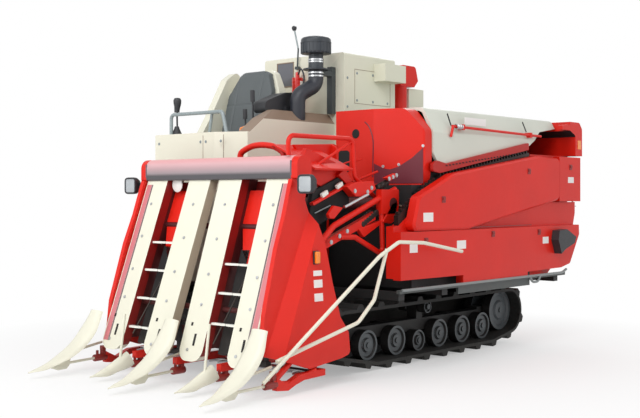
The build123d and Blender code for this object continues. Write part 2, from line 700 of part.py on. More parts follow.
def handrail():
    """Rail across the console with its inner leg."""
    y, low, top = CONSOLE_Y[0] + 60, CONSOLE_Z, CONSOLE_Z + 136
    left, right = CONSOLE_X[0] + 94, CONSOLE_X[1] + 12
    foot = low - 20
    rail = pipe([(left, y, foot), (left, y, top), (right, y, top - 2), (right + 43, y, foot)], 12, 30)
    rail += pipe([(right - 142, y + 14, foot), (right - 118, y + 14, low + 100),
                  (right - 97, y, top - 1)], 10, 30)
    return rail - block((CONSOLE_X[0], SIDE_BOX_X[1]), CONSOLE_Y, (low - 100, low))


def levers():
    """Joystick on the console, two levers on their gate and the armrest beside the side box."""
    base = CONSOLE_Z - 10
    x, y = -765, CONSOLE_Y[0] + 95
    stick = around_z([(0, 0), (26, 0), (22, 8), (12, 34), (0, 34)], x, y, CONSOLE_Z)
    stick += rod((x, y, CONSOLE_Z + 20), (x - 4, y, CONSOLE_Z + 160), 6)
    stick += rod((x - 4, y, CONSOLE_Z + 155), (x - 6, y, CONSOLE_Z + 246), 18)
    pieces = [stick]
    for y, low, high in ((GATE_Y + 10, 1590, 1655), (GATE_Y + 80, 1708, 1785)):
        lever = rod((-320, y, base), (-320, y, base + 14), 18)
        lever += rod((-320, y, base + 8), (-322, y - 6, low + 5), 6)
        lever += rod((-322, y - 6, low), (-323, y - 8, high), 15)
        pieces.append(lever)
    arm = along_x([(-440, 1630, 30), (-440, 1708, 45), (-250, 1780, 80), (-100, 1792, 30), (-100, 1700, 20)],
                  *ARM_PAD_X)
    arm += block((ARM_PAD_X[0] + 30, SIDE_BOX_X[0]), (-260, -200), (SIDE_BOX_TOP - 60, SIDE_BOX_TOP + 40))
    return node(*pieces, arm)


HOSE_R = 52.0
CLEANER = (-115.0, -62.0)       # x and y of the pre-cleaner
CLEANER_Z = 1978.0              # foot of its neck


def air_hose():
    """Intake hose from the side box up to the pre-cleaner's flange."""
    x, y = CLEANER
    start = (x - 42, y - 140)
    hose = pipe([(*start, SIDE_BOX_TOP - 60), (*start, SIDE_BOX_TOP + 110), (x, y, SIDE_BOX_TOP + 190),
                 (x, y, CLEANER_Z - 38)], HOSE_R, 80)
    return hose - console()


def pre_cleaner():
    """Mushroom pre-cleaner on its neck and flange."""
    x, y = CLEANER
    return around_z([(0, -38), (88, -38), (88, -30), (52, -22), (50, 68), (98, 72), (103, 84), (103, 178, 20),
                     (60, 190, 20), (0, 193)], x, y, CLEANER_Z)


def beacon():
    """Domed lamp on the lever gate."""
    return around_z([(0, 0), (42, 0), (42, 24), (36, 48, 12), (0, 62)], SIDE_BOX_X[0] - 46, GATE_Y - 60,
                    CONSOLE_Z - 10)


def extinguisher():
    """Fire extinguisher in its bracket on the tank's front."""
    x, y, top = -410, TANK_Y[0] - 45, TANK_Z[1] - 155
    bottle = rod((x, y, top - 250), (x, y, top), 40) + rod((x, y, top), (x, y, top + 40), 15)
    return bottle + block((x - 25, x + 25), (y, TANK_Y[0]), (top - 200, top - 170))


def cleaner_post():
    """Post on the tank's front that holds the pre-cleaner, and the thin rod beside it."""
    x, y, front = CLEANER[0], CLEANER[1], TANK_Y[0]
    post = block((x - 23, x + 23), (front - 40, front), (SIDE_BOX_TOP, CLEANER_Z - 3))
    post += block((x - 23, x + 23), (y + 56, front - 20), (CLEANER_Z - 70, CLEANER_Z - 38))
    post -= pre_cleaner()
    x, y = -435, front - 20
    stalk = block((x - 15, x + 15), (front - 30, front), (1985, 2005))
    stalk += pipe([(x, y, 1995), (x + 10, y, 2130), (x - 35, y, 2300)], 6, 40)
    return node(post, stalk)


def dust_outlet():
    """Wedge spout on the lower flank."""
    return along_x([(1450, 760), (1468, 828), (1580, 835), (1725, 775), (1700, 730), (1560, 690), (1499, 658)],
                   FLANK_X, FLANK_X + 60)


def rear_flank():
    """Inner flank behind the covers, up to the feed chain and back to the rear case."""
    under_chain = [(y, z - CHAIN_DEPTH - SEAT_GAP) for y, z in CHAIN_LINE]
    shape = [(-390, 580), (1590, 560), (1725, 590), (1873, 800), (1922, 950), (1922, 1034), (1568, 1034),
             (1568, 1300), (1260, 1300)]
    return along_x(shape + under_chain[::-1] + [(-390, 895)], CASE_X[1], FLANK_INNER)


REAR_PIN = (812.0, 1940.0)      # x and y of the rear side door's pin
REAR_DOOR_Y = (1575.0, 1905.0)
REAR_DOOR_Z = (1040.0, 1372.0)


def rear_side_door():
    """Door at the rear end of the flank, hinged at its rear edge."""
    x, y = REAR_PIN
    leaf = block((FLANK_INNER, FLANK_X), REAR_DOOR_Y, REAR_DOOR_Z)
    leaf += block((FLANK_INNER, x + 8), (REAR_DOOR_Y[1], y), (REAR_DOOR_Z[0] + 60, REAR_DOOR_Z[1] - 60))
    return knuckle_bore(leaf, (x, y, REAR_DOOR_Z[0] + 60), (x, y, REAR_DOOR_Z[1] - 60))


def rear_door_hinge():
    """Pin of the rear side door with two lugs on the rear case."""
    x, y = REAR_PIN
    low, high = REAR_DOOR_Z[0] + 40, REAR_DOOR_Z[1] - 40
    pin = rod((x, y, low), (x, y, high), HINGE_PIN_R)
    for z in (low, high - 14):
        pin += block((CASE_X[1] - 20, x + 10), (1890, y + 10), (z, z + 14)) - block(
            (FLANK_INNER, FLANK_X + 5), (1500, REAR_DOOR_Y[1] + DOOR_GAP), REAR_DOOR_Z)
    return pin


# ---- header ---------------------------------------------------------------------------------

DIVIDER_BACK_Y = -1435.0
ARM_Z = (110.0, 150.0)
ARM_XS = [HEAD_X + number * ROW for number in range(-2, 3)]
SIDE_X = 600.0              # half width to the outer face of the frame's side plates
SIDE_T = 25.0
FOOT_Z = 150.0
CASE_HALF = 95.0
CASE_DEPTH = 65.0
CASE_SPREAD = 196.0         # from the middle of a pair to the middle of its cases
PAIR_X = (330.0, 356.0)     # middles of the pairs at the top and at the foot, from HEAD_X
RAIL_DEPTH = 70.0
TINE_ROWS = {-1: (795.0, 628.0, 460.0, 290.0), 1: (690.0, 528.0, 360.0)}
BAR_Z = (1176.0, 1310.0)
BAR_YS = (-1130.0, -1010.0)
BAR_HALF = 627.0
BAR_CAP = 50.0
CASES = [(side, way) for side in (-1, 1) for way in (-1, 1)]


def lean(z):
    """y of the cases' front at a height."""
    return BAR_YS[0] + 12 + (z - BAR_Z[0]) * 0.347


def case_x(side, way, z):
    """x of the middle of a case at a height; the pairs spread towards their feet."""
    down = (BAR_Z[0] - z) / (BAR_Z[0] - FOOT_Z)
    return HEAD_X + side * (PAIR_X[0] + (PAIR_X[1] - PAIR_X[0]) * down) + way * CASE_SPREAD


def slab(near, far, low, high):
    """Leaning slab between two depths behind the cases' front and two heights."""
    return along_x([(lean(high) + near, high), (lean(low) + near, low), (lean(low) + far, low),
                    (lean(high) + far, high)], HEAD_X - 2 * ROW, HEAD_X + 2 * ROW)


def leaning_strip(side, way, near, far, low, high, corner=0):
    """Upright strip in (x, z), from near to far of a case's middle, that follows its lean."""
    points = [(case_x(side, way, high) + near, high), (case_x(side, way, high) + far, high),
              (case_x(side, way, low) + far, low, corner), (case_x(side, way, low) + near, low, corner)]
    return along_y(points, -1600, -800)


def header_frame():
    """Pivot tube, boom, cross tubes, side plates and the rails behind the cases."""
    left, right = HEAD_X + SIDE_X, HEAD_X - SIDE_X
    frame = rod((BOOM_X, PIVOT_Y, PIVOT_Z), (BOOM_X, FRAME_Y, FRAME_Z + 60), BOOM_R)
    frame += rod((STAND_XS[0] - 35, PIVOT_Y, PIVOT_Z), (690, PIVOT_Y, PIVOT_Z), PIVOT_R)
    frame += block((right - SIDE_REACH, left + SIDE_REACH), (FRAME_Y - 40, FRAME_Y + 40),
                   (FRAME_Z - 40, FRAME_Z + 40))
    for x in (left - 12, right):
        frame += along_x([(FRAME_Y - 40, FRAME_Z - 40), (FRAME_Y + 40, FRAME_Z - 40),
                          (FRAME_Y + 40, FRAME_Z + 40), (BAR_YS[1] + 75, 900), (BAR_YS[1], BAR_Z[0]),
                          (BAR_YS[1] - 38, BAR_Z[0])], x, x + 12)
    for side, way in CASES:
        inner = -way * CASE_HALF
        near, far = sorted((inner, inner + way * 60))
        frame += slab(CASE_DEPTH, CASE_DEPTH + RAIL_DEPTH, FOOT_Z + 70, BAR_Z[0]) & leaning_strip(
            side, way, near, far, FOOT_Z, BAR_Z[0])
    for z in TUBE_ZS:
        y = lean(z) + CASE_DEPTH + RAIL_DEPTH / 2
        frame += rod((right - SIDE_REACH, y, z), (left + SIDE_REACH, y, z), 18)
    for x in (left - 12, right):
        for z in TUBE_ZS:
            bar_y = FRAME_Y + (z - FRAME_Z) * (BAR_YS[1] - FRAME_Y) / (BAR_Z[0] - FRAME_Z)
            frame += block((x, x + 12), (lean(z) + CASE_DEPTH + 20, bar_y + 30), (z - 30, z + 30))
    for way in (1, -1):
        frame -= side_envelope(way)
    return frame


def divider_arms():
    """Arms from the cross tube to the dividers; the outer two run under the side covers."""
    front, back = DIVIDER_BACK_Y, FRAME_Y + 20
    arms = []
    for x in ARM_XS[1:-1]:
        arm = block((x - 18, x + 18), (front, back), ARM_Z)
        arms.append(arm + block((x - 18, x + 18), (FRAME_Y - 30, back), (ARM_Z[0], FRAME_Z - 40)))
    for x, way in ((ARM_XS[0], -1), (ARM_XS[-1], 1)):
        arm = along_x([(front + 60, ARM_Z[0]), (front + 60, 40), (-1285, 30), (-1180, 70), (back, 75),
                       (back, 111), (-1190, 106), (-1290, 66)], x - 18, x + 18)
        low, high = sorted((HEAD_X + way * 655, x))
        arm += block((low, high), (FRAME_Y - 20, back), (75, 111))
        low, high = sorted((HEAD_X + way * 655, HEAD_X + way * 690))
        arms.append(arm + block((low, high), (FRAME_Y - 20, back), (75, FRAME_Z - 40)))
    return node(*arms)


def raking_cases():
    """Four inclined cases of the raking chains, rounded at their feet."""
    depth = slab(0, CASE_DEPTH, FOOT_Z, BAR_Z[0] - SEAT_GAP)
    return node(*[depth & leaning_strip(side, way, -CASE_HALF, CASE_HALF, FOOT_Z, BAR_Z[0], 70)
                  for side, way in CASES])


def raking_tines():
    """Pointed fingers that reach out of the facing sides of each pair of cases."""
    pieces = []
    for side, way in CASES:
        for z in TINE_ROWS[side]:
            x = case_x(side, way, z) - way * (CASE_HALF + SEAT_GAP)
            y = lean(z) + CASE_DEPTH / 2
            plan = [(x, y - 14), (x - way * 85, y - 9), (x - way * 100, y, 0), (x - way * 85, y + 9),
                    (x, y + 14)]
            pieces.append(along_z(plan, z - 6, z + 6))
    return node(*pieces)


def throat_plates():
    """Sheets behind the upper gap of each pair, seated on the rails."""
    start = CASE_DEPTH + RAIL_DEPTH
    plates = []
    for side in (-1, 1):
        half = CASE_SPREAD - CASE_HALF + 55
        low = 640
        points = [(case_x(side, 0, BAR_Z[0]) - half, BAR_Z[0] - 10), (case_x(side, 0, BAR_Z[0]) + half, BAR_Z[0] - 10),
                  (case_x(side, 0, low) + half, low + 150), (case_x(side, 0, low) - half, low)]
        plates.append(slab(start, start + 6, low, BAR_Z[0] - 10) & along_y(points, -1600, -800))
    return node(*plates)


def bar_section():
    """Section of the top bar, in (y, z)."""
    return [(BAR_YS[0], BAR_Z[0], 8), (BAR_YS[0], BAR_Z[1], 56), (BAR_YS[1], BAR_Z[1], 56),
            (BAR_YS[1], BAR_Z[0], 8)]


def top_bar():
    """Rounded cover of the drive shaft across the top."""
    return along_x(bar_section(), HEAD_X - BAR_HALF, HEAD_X + BAR_HALF)


TUBE_ZS = (430.0, 900.0)
SIDE_REACH = 160.0          # the cross tubes run out into the side covers, which cut them
# z, then (outward from HEAD_X, y) of the front edge, the two creases and the rear of a side cover
SIDE_SECTIONS = [
    (100.0, (682, -1410), (682, -1440), (747, -1354), (752, -700)),
    (432.0, (672, -1388), (670, -1280), (731, -1203), (738, -700)),
    (1176.0, (655, -1147), (650, -919), (688, -866), (693, -700)),
]


def side_solid(way, inward, outward):
    """Loft between two offsets of the side cover's outer face."""
    faces = []
    for z, *corners in SIDE_SECTIONS:
        outer = [(HEAD_X + way * (x + outward), y) for x, y in corners]
        inner = [(HEAD_X + way * (x - inward), y) for x, y in reversed(corners)]
        if z == SIDE_SECTIONS[0][0]:
            outer[0] = (outer[0][0], outer[1][1] - 30)
            inner[-1] = (inner[-1][0], inner[-2][1] - 30)
        faces.append(Plane.XY.offset(z) * make_face(Polyline(*outer, *inner, close=True)))
    return loft(faces, ruled=True)


def side_envelope(way):
    """Everything outward of a side cover's inner face."""
    return side_solid(way, SIDE_T, 200)


def header_side_cover(way):
    """Creased side cover with its front flange and its end cap of the top bar."""
    shape = [(-1147, BAR_Z[0]), (-1214, 966), (-1285, 786), (-1388, 432), (-1408, 221), (-1103, 124, 20),
             (-822, 154, 20), (-754, 170, 30), (-762, 296, 40), (-831, 388), (-884, 582), (-932, 812),
             (-1042, 1058), (BAR_YS[1], BAR_Z[0])]
    cover = side_solid(way, SIDE_T, 0) & along_x(shape, HEAD_X - 800, HEAD_X + 800)
    flange = along_x([(-1147, BAR_Z[0]), (-1214, 966), (-1285, 786), (-1388, 432), (-1408, 221),
                      (-1390, 215), (-1370, 432), (-1267, 786), (-1196, 966), (-1129, BAR_Z[0])],
                     HEAD_X - 800, HEAD_X + 800)
    edge = [(HEAD_X + way * 655, BAR_Z[0]), (HEAD_X + way * 681, 200), (HEAD_X + way * 651, 200),
            (HEAD_X + way * 625, BAR_Z[0])]
    cover += flange & along_y(edge, -1600, -800)
    if way < 0:
        cover -= block((-800, -600), (-860, -700), (0, 480))    # room for the right crawler
    low, high = sorted((HEAD_X + way * (BAR_HALF + SEAT_GAP), HEAD_X + way * (BAR_HALF + BAR_CAP)))
    return cover + along_x(bar_section(), low, high)


def headlights():
    """Square work lamps outside the side covers, each on a stub."""
    pieces = []
    for way in (1, -1):
        inner = HEAD_X + way * 700
        low, high = sorted((inner, inner + way * 112))
        lamp = block((low, high), (-1160, -1100), (1092, 1200))
        low, high = sorted((HEAD_X + way * 640, inner))
        pieces.append(lamp + (block((low, high), (-1128, -1108), (1130, 1160)) - header_side_cover(way)))
    return node(*[piece.solids().sort_by(SortBy.VOLUME)[-1] for piece in pieces])


def large_divider(x):
    """Horn-shaped divider on the end of its arm."""
    tip, back = (TIP_Y, TIP_Z), DIVIDER_BACK_Y
    edges = [ThreePointArc(tip, (-1675, 160), (back - 60, 382)), Line((back - 60, 382), (back, 355)),
             Line((back, 355), (back, 290)), ThreePointArc((back, 290), (-1560, 150), (-1680, 62)),
             Line((-1680, 62), (-1700, 34)), Line((-1700, 34), tip)]
    side = extrude(Plane.YZ.offset(x - 98) * make_face(edges), amount=196)
    plan = [(x - 6, TIP_Y - 5), (x + 6, TIP_Y - 5), (x + 60, -1700), (x + 80, back + 5),
            (x - 80, back + 5), (x - 60, -1700)]
    keel = rod((x, -1640, 70), (x, back + 60, 70), 22)
    socket = rod((x, back - 60, 70), (x, back + 60, 70), 30) + block(
        (x - 18, x + 18), (back, back + 60), (70, ARM_Z[0]))
    return (side & along_z(plan, 0, 500)) + keel + socket


def small_divider(x):
    """Low divider with an upright guide wire."""
    back = DIVIDER_BACK_Y
    side = along_x([(-1758, 31), (-1562, 170, 40), (-1500, 192, 20), (back, 192), (back, 105), (back, 34),
                    (-1620, 34)], x - 28, x + 28)
    return side + rod((x, -1540, 160), (x, -1505, 380), 6)


def dividers():
    """Five dividers, large ones by turns with small ones."""
    pieces = []
    for number in range(-2, 3):
        x = HEAD_X + number * ROW
        pieces.append(small_divider(x) if number % 2 else large_divider(x))
    return node(*pieces)


def cutter_bar():
    """Reciprocating cutter under the arms, with its finger guards."""
    y, top = -1080.0, ARM_Z[0]
    left, right = ARM_XS[0] + 24, ARM_XS[4] - 24
    bar = block((left, right), (y - 30, y + 30), (top - 22, top))
    count = 19
    for number in range(count):
        x = left + (right - left) * (number + 0.5) / count
        bar += along_z([(x - 16, y - 29), (x + 16, y - 29), (x, y - 90)], top - 18, top - 6)
    return bar


def star_wheels():
    """Packer wheels that draw the stalks in, on their posts."""
    y, pieces = -1175, []
    for x in (ARM_XS[1], ARM_XS[3]):
        for way in (-1, 1):
            at = x + way * 110
            wheel = Circle(70)
            for number in range(8):
                wheel += Rot(0, 0, 45 * number) * make_face(Polyline((-22, 60), (22, 60), (0, 104), close=True))
            piece = extrude(Plane.XY.offset(300) * Pos(at, y) * wheel, amount=14)
            low, high = sorted((x + way * 18, at + way * 20))
            piece += rod((at, y, ARM_Z[0] + 20), (at, y, 330), 16)
            pieces.append(piece + block((low, high), (y - 20, y + 20), (ARM_Z[0] + 5, ARM_Z[1] - 5)))
    return node(*pieces)


CONVEYOR_X = 668.0


def conveyor():
    """Conveying chain case and pipes that lead from the header to the feed chain."""
    x = CONVEYOR_X
    base = block((x - 22, x + 22), (PIVOT_Y - 120, PIVOT_Y + 55), (PIVOT_Z - 60, PIVOT_Z + 90))
    base -= rod((x - 22, PIVOT_Y, PIVOT_Z), (x + 22, PIVOT_Y, PIVOT_Z), PIVOT_R + SEAT_GAP)
    base += pipe([(x, -1015, 730), (x, -800, 905), (x, -300, 1090), (x, -205, 1122)], 18, 90)
    base += along_x(band([(-880, 800), (-400, 965)], 30, 20), x - 36, x - 2)
    base += pipe([(x, -740, 840), (x, -600, 835), (x, -370, 735), (x, -330, 740), (x, -345, 980)], 16, 30)
    return base


def upper_pipe():
    """Pipe frame over the conveyor, from the top bar to the pivot tube's end."""
    x, top = CONVEYOR_X - 68, BAR_Z[1] + 127
    return pipe([(x, -1110, BAR_Z[1]), (x, -1110, top - 14), (x, -539, top - 12), (x, -524, 1195),
                 (x, PIVOT_Y, PIVOT_Z)], 14, 45) - rod((x - 60, PIVOT_Y, PIVOT_Z), (x + 60, PIVOT_Y, PIVOT_Z),
                                                       PIVOT_R + SEAT_GAP)


def crop_guide():
    """Bent tubes that keep the standing crop off the left flank."""
    horn = ARM_XS[4]
    upper = pipe([(horn + 28, -1490, 98), (horn + 185, -700, 735), (horn + 203, -540, 812),
                  (horn + 210, -300, 800), (horn + 210, 110, 732)], 11, 60)
    lower = pipe([(horn + 30, -1390, 200), (horn + 75, -1049, 293), (horn + 115, -806, 362),
                  (horn + 155, -712, 485), (horn + 192, -640, 775)], 11, 50)
    return upper + lower - header_side_cover(1)


# ---- lift cylinder --------------------------------------------------------------------------

LIFT_X = 100.0
LIFT_BASE = (-460.0, 500.0)     # y and z of the barrel's pin on the rail
LIFT_EYE = (-740.0, 680.0)      # y and z of the rod's eye on the header
LIFT_PIN_R = 12.0
EYE_PLAY = 3.0                  # the rod's eye may drift from its pin between its ends


def lift_point(share):
    """Point on the cylinder's line at a share of its closed length."""
    return tuple(a + (b - a) * share for a, b in zip(LIFT_BASE, LIFT_EYE))


def lift_barrel():
    """Barrel with its base eye."""
    start, end = lift_point(0.12), lift_point(0.8)
    barrel = rod((LIFT_X, *start), (LIFT_X, *end), 30)
    barrel += rod((LIFT_X - 20, *LIFT_BASE), (LIFT_X + 20, *LIFT_BASE), 26)
    barrel += rod((LIFT_X, *lift_point(0.02)), (LIFT_X, *start), 18)
    barrel -= rod((LIFT_X - 20, *LIFT_BASE), (LIFT_X + 20, *LIFT_BASE), LIFT_PIN_R + PIN_GAP)
    return barrel - rod((LIFT_X, *lift_point(0.16)), (LIFT_X, *end), 15 + PIN_GAP)


def lift_rod():
    """Piston rod with the eye that meets the header's pin."""
    piston = rod((LIFT_X, *lift_point(0.18)), (LIFT_X, *lift_point(0.95)), 15)
    piston += rod((LIFT_X - 15, *LIFT_EYE), (LIFT_X + 15, *LIFT_EYE), 30)
    return piston - rod((LIFT_X - 15, *LIFT_EYE), (LIFT_X + 15, *LIFT_EYE), LIFT_PIN_R + EYE_PLAY)


def lift_bracket():
    """Cheeks and pin of the barrel on the left rail."""
    y, z = LIFT_BASE
    pin = rod((LIFT_X - 38, y, z), (LIFT_X + 38, y, z), LIFT_PIN_R)
    for low in (LIFT_X - 38, LIFT_X + 26):
        pin += block((low, low + 12), (y - 28, y + 28), (RAIL_Z[1], z + 24))
    return pin


def rod_pin():
    """Pin of the rod's eye, on a horn that stands up from the header's boom."""
    y, z = LIFT_EYE
    horn = along_x([(y - 60, z - 130), (y + 60, z - 60), (y + 28, z + 26, 20), (y - 28, z + 26, 20)],
                   BOOM_X + 25, BOOM_X + 55)
    pin = rod((BOOM_X + 40, y, z), (LIFT_X + 28, y, z), LIFT_PIN_R)
    return horn + pin + rod((LIFT_X + 17, y, z), (LIFT_X + 28, y, z), 22)


# ---- nodes ----------------------------------------------------------------------------------

def build():
    """Write every node."""
    nodes = {
        "track_left": track_loop(TRACK_XS[0]),
        "track_right": track_loop(TRACK_XS[1]),
        "rollers": node(*[rollers(x) for x in TRACK_XS]),
        "track_frames": node(*[track_beam(x) for x in TRACK_XS]),
        "final_drive": final_drive(),
        "chassis_frame": chassis_frame(),
        "cross_channels": cross_channels(),
        "header_stands": node(header_stands(), lift_bracket()),
        "side_rail": side_rail(),
        "thresher_case": thresher_case(),
        "thresher_front": thresher_front(),
        "threshing_chamber": threshing_chamber() + cover_hinge(),
        "threshing_drum": threshing_drum(),
        "thresher_cover": cover_knuckle(thresher_cover()),
        "cover_rod": cover_rod(),
        "clamp_rail": clamp_rail(),
        "feed_chain": feed_chain(),
        "upper_side_cover": upper_side_cover(),
        "lower_side_panel": lower_side_panel(),
        "rear_flank": rear_flank(),
        "rear_case": rear_case() + rear_door_hinge(),
        "straw_hood": straw_hood(),
        "rear_side_door": rear_side_door(),
        "dust_outlet": dust_outlet(),
        "grain_tank": grain_tank(),
        "tank_base": tank_base() + platform_hinge() + screen_hinge(),
        "grain_elevator": grain_elevator(),
        "bagging_spouts": bagging_spouts(),
        "bag_platform": bag_platform(),
        "engine": engine(),
        "radiator_screen": radiator_screen(),
        "operator_deck": operator_deck() + seat_hinge(),
        "console": console(),
        "engine_cover": engine_cover(),
        "seat_shell": seat_shell(),
        "seat_cushions": seat_cushions(),
        "handrail": handrail(),
        "levers": levers(),
        "air_hose": air_hose(),
        "pre_cleaner": pre_cleaner(),
        "beacon": beacon(),
        "extinguisher": extinguisher(),
        "cleaner_post": cleaner_post(),
        "header_frame": header_frame() + rod_pin(),
        "divider_arms": divider_arms(),
        "raking_cases": raking_cases(),
        "raking_tines": raking_tines(),
        "throat_plates": throat_plates(),
        "top_bar": top_bar(),
        "side_cover_left": header_side_cover(1),
        "side_cover_right": header_side_cover(-1),
        "headlights": headlights(),
        "dividers": dividers(),
        "cutter_bar": cutter_bar(),
        "star_wheels": star_wheels(),
        "conveyor": conveyor(),
        "upper_pipe": upper_pipe(),
        "crop_guide": crop_guide(),
        "lift_barrel": lift_barrel(),
        "lift_rod": lift_rod(),
    }
    os.makedirs("parts", exist_ok=True)
    for name, shape in nodes.items():
        export_step(shape, f"parts/{name}.step")


build()
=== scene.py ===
"""Finish and fittings of a four-row rice combine on rubber crawlers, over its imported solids.

Metres. +X is the machine's left, -Y its front, +Z up.
"""

import math

import bmesh
import bpy
from mathutils import Matrix, Vector


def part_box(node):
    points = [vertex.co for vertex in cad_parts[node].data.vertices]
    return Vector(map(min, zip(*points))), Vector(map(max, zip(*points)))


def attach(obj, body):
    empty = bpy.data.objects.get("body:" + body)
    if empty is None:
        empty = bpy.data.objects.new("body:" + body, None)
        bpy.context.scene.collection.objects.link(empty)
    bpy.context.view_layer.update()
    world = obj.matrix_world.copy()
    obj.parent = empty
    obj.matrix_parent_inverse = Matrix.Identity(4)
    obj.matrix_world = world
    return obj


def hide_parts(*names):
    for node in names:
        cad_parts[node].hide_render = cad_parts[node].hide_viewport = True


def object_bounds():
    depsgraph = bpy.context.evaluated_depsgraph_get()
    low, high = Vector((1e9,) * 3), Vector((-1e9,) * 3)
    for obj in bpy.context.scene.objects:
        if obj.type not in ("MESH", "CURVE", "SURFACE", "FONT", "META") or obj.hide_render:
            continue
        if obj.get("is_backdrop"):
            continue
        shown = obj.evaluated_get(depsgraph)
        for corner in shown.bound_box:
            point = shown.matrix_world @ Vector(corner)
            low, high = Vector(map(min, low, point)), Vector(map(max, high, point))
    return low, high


bl_info = {
    "name": "Rice Combine Finish",
    "version": (1, 0, 0),
    "blender": (4, 5, 0),
    "location": "3D View > Sidebar > Combine",
    "description": "Paint, fittings and soft parts of a rice combine over its packed solids",
    "category": "Object",
}

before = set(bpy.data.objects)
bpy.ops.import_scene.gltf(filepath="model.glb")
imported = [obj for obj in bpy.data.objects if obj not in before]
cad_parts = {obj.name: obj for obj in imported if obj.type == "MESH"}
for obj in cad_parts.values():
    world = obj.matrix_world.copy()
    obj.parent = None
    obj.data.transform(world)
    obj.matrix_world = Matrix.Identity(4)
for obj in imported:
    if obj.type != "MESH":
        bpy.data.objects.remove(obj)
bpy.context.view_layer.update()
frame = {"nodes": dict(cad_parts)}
NODES = frame["nodes"]
FLANK_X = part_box("lower_side_panel")[1][0]
SKIRT_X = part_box("thresher_cover")[1][0]
TANK_LOW, TANK_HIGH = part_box("grain_tank")
CONSOLE_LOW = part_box("console")[0]
BAR_LOW, BAR_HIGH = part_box("top_bar")
CASE_LOW, CASE_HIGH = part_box("raking_cases")
CLEANER_LOW, CLEANER_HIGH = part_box("pre_cleaner")
SIDE_BOX_X = -0.215             # where the console's side box starts
HEAD_X = 0.01                   # middle of the header
LEAN = 0.347                    # run of the cases per height
CASE_PAIR, CASE_SPREAD = 0.330, 0.026   # from the header's middle to that of a pair of cases, and more at the foot
CASE_OFF, CASE_STEP = 0.196, 0.065      # from the pair's middle to a case's, and the front behind the box
ROW = 0.3675                    # spacing of the dividers


def linear(colour):
    """Linear colour of an sRGB one given in 0 to 255."""
    return tuple((c / 255 / 12.92 if c <= 10 else ((c / 255 + 0.055) / 1.055) ** 2.4) for c in colour) + (1.0,)


# ---- sizes and colours a user would change --------------------------------------------------

def colour(name, text, value):
    """Property of a colour given in 0 to 255."""
    return bpy.props.FloatVectorProperty(name=name, description=text, subtype="COLOR", size=4, min=0, max=1,
                                         default=linear(value))


def length(name, text, value):
    """Property of a length in metres."""
    return bpy.props.FloatProperty(name=name, description=text, default=value, min=0, unit="LENGTH")


class CombinePaint(bpy.types.PropertyGroup):
    """Colours of the machine."""
    red: colour("Red", "Paint of the covers and the header", (220, 30, 14))
    cream: colour("Cream", "Paint of the tank, the console and the cases", (230, 228, 210))
    frame: colour("Frame black", "Paint of the chassis and the inner works", (20, 20, 22))
    rail: colour("Rail grey", "Paint of the guard rail and the wheels", (64, 71, 73))
    rubber: colour("Rubber", "Rubber of the crawlers", (16, 17, 18))
    hose: colour("Hose", "Rubber of the intake hose and plastic of the cleaner", (34, 37, 46))
    seat: colour("Seat", "Vinyl of the seat", (86, 92, 94))
    amber: colour("Amber", "Lens of the beacon and the side lamps", (246, 132, 10))
    pink: colour("Bar top", "Pale red at the top of the bar's cover", (228, 150, 152))
    bar_grey: colour("Bar foot", "Grey at the foot of the bar's cover", (72, 70, 74))


class CombineSizes(bpy.types.PropertyGroup):
    """Sizes of the small fittings."""
    screw: length("Screw", "Radius of a cover screw", 0.0065)
    bolt: length("Bolt", "Radius of a bolt on the conveyor's plates", 0.009)
    seam: length("Seam", "Width of a panel seam", 0.004)
    wire: length("Wire", "Radius of the thin rods", 0.005)
    rim: length("Lamp rim", "Width of a lamp housing's rim", 0.012)
    tube_sides: bpy.props.IntProperty(name="Tube sides", description="Sides of a round bar", default=16, min=6)


# ---- shader groups --------------------------------------------------------------------------

def new_group(name, inputs, outputs):
    """Empty shader group with named sockets."""
    group = bpy.data.node_groups.new(name, "ShaderNodeTree")
    for label, kind, default in inputs:
        socket = group.interface.new_socket(label, in_out="INPUT", socket_type=kind)
        if default is not None:
            socket.default_value = default
    for label, kind in outputs:
        group.interface.new_socket(label, in_out="OUTPUT", socket_type=kind)
    return group, group.nodes.new("NodeGroupInput"), group.nodes.new("NodeGroupOutput")


def feed(tree, socket, value):
    """Link a socket to another one, or set its value."""
    if isinstance(value, bpy.types.NodeSocket):
        tree.links.new(value, socket)
    else:
        socket.default_value = value


def maths(tree, operation, first, second, clamp=False):
    """Result of two sockets or numbers."""
    node = tree.nodes.new("ShaderNodeMath")
    node.operation, node.use_clamp = operation, clamp
    feed(tree, node.inputs[0], first)
    feed(tree, node.inputs[1], second)
    return node.outputs[0]


def span(tree, value, low, high, to_low=0.0, to_high=1.0):
    """Value brought from one range to another."""
    node = tree.nodes.new("ShaderNodeMapRange")
    for label, number in (("Value", value), ("From Min", low), ("From Max", high), ("To Min", to_low),
                          ("To Max", to_high)):
        feed(tree, node.inputs[label], number)
    return node.outputs["Result"]


def mixed(tree, amount, first, second, blend="MIX"):
    """Mix of two colours."""
    node = tree.nodes.new("ShaderNodeMix")
    node.data_type, node.blend_type = "RGBA", blend
    for index, value in ((0, amount), (6, first), (7, second)):
        feed(tree, node.inputs[index], value)
    return node.outputs[2]


DUST_COLOUR = linear((150, 138, 118))
DUST_TOP = 0.75                 # height at which no more dust settles
ROUGH_SWING = 0.06              # change of roughness over a surface


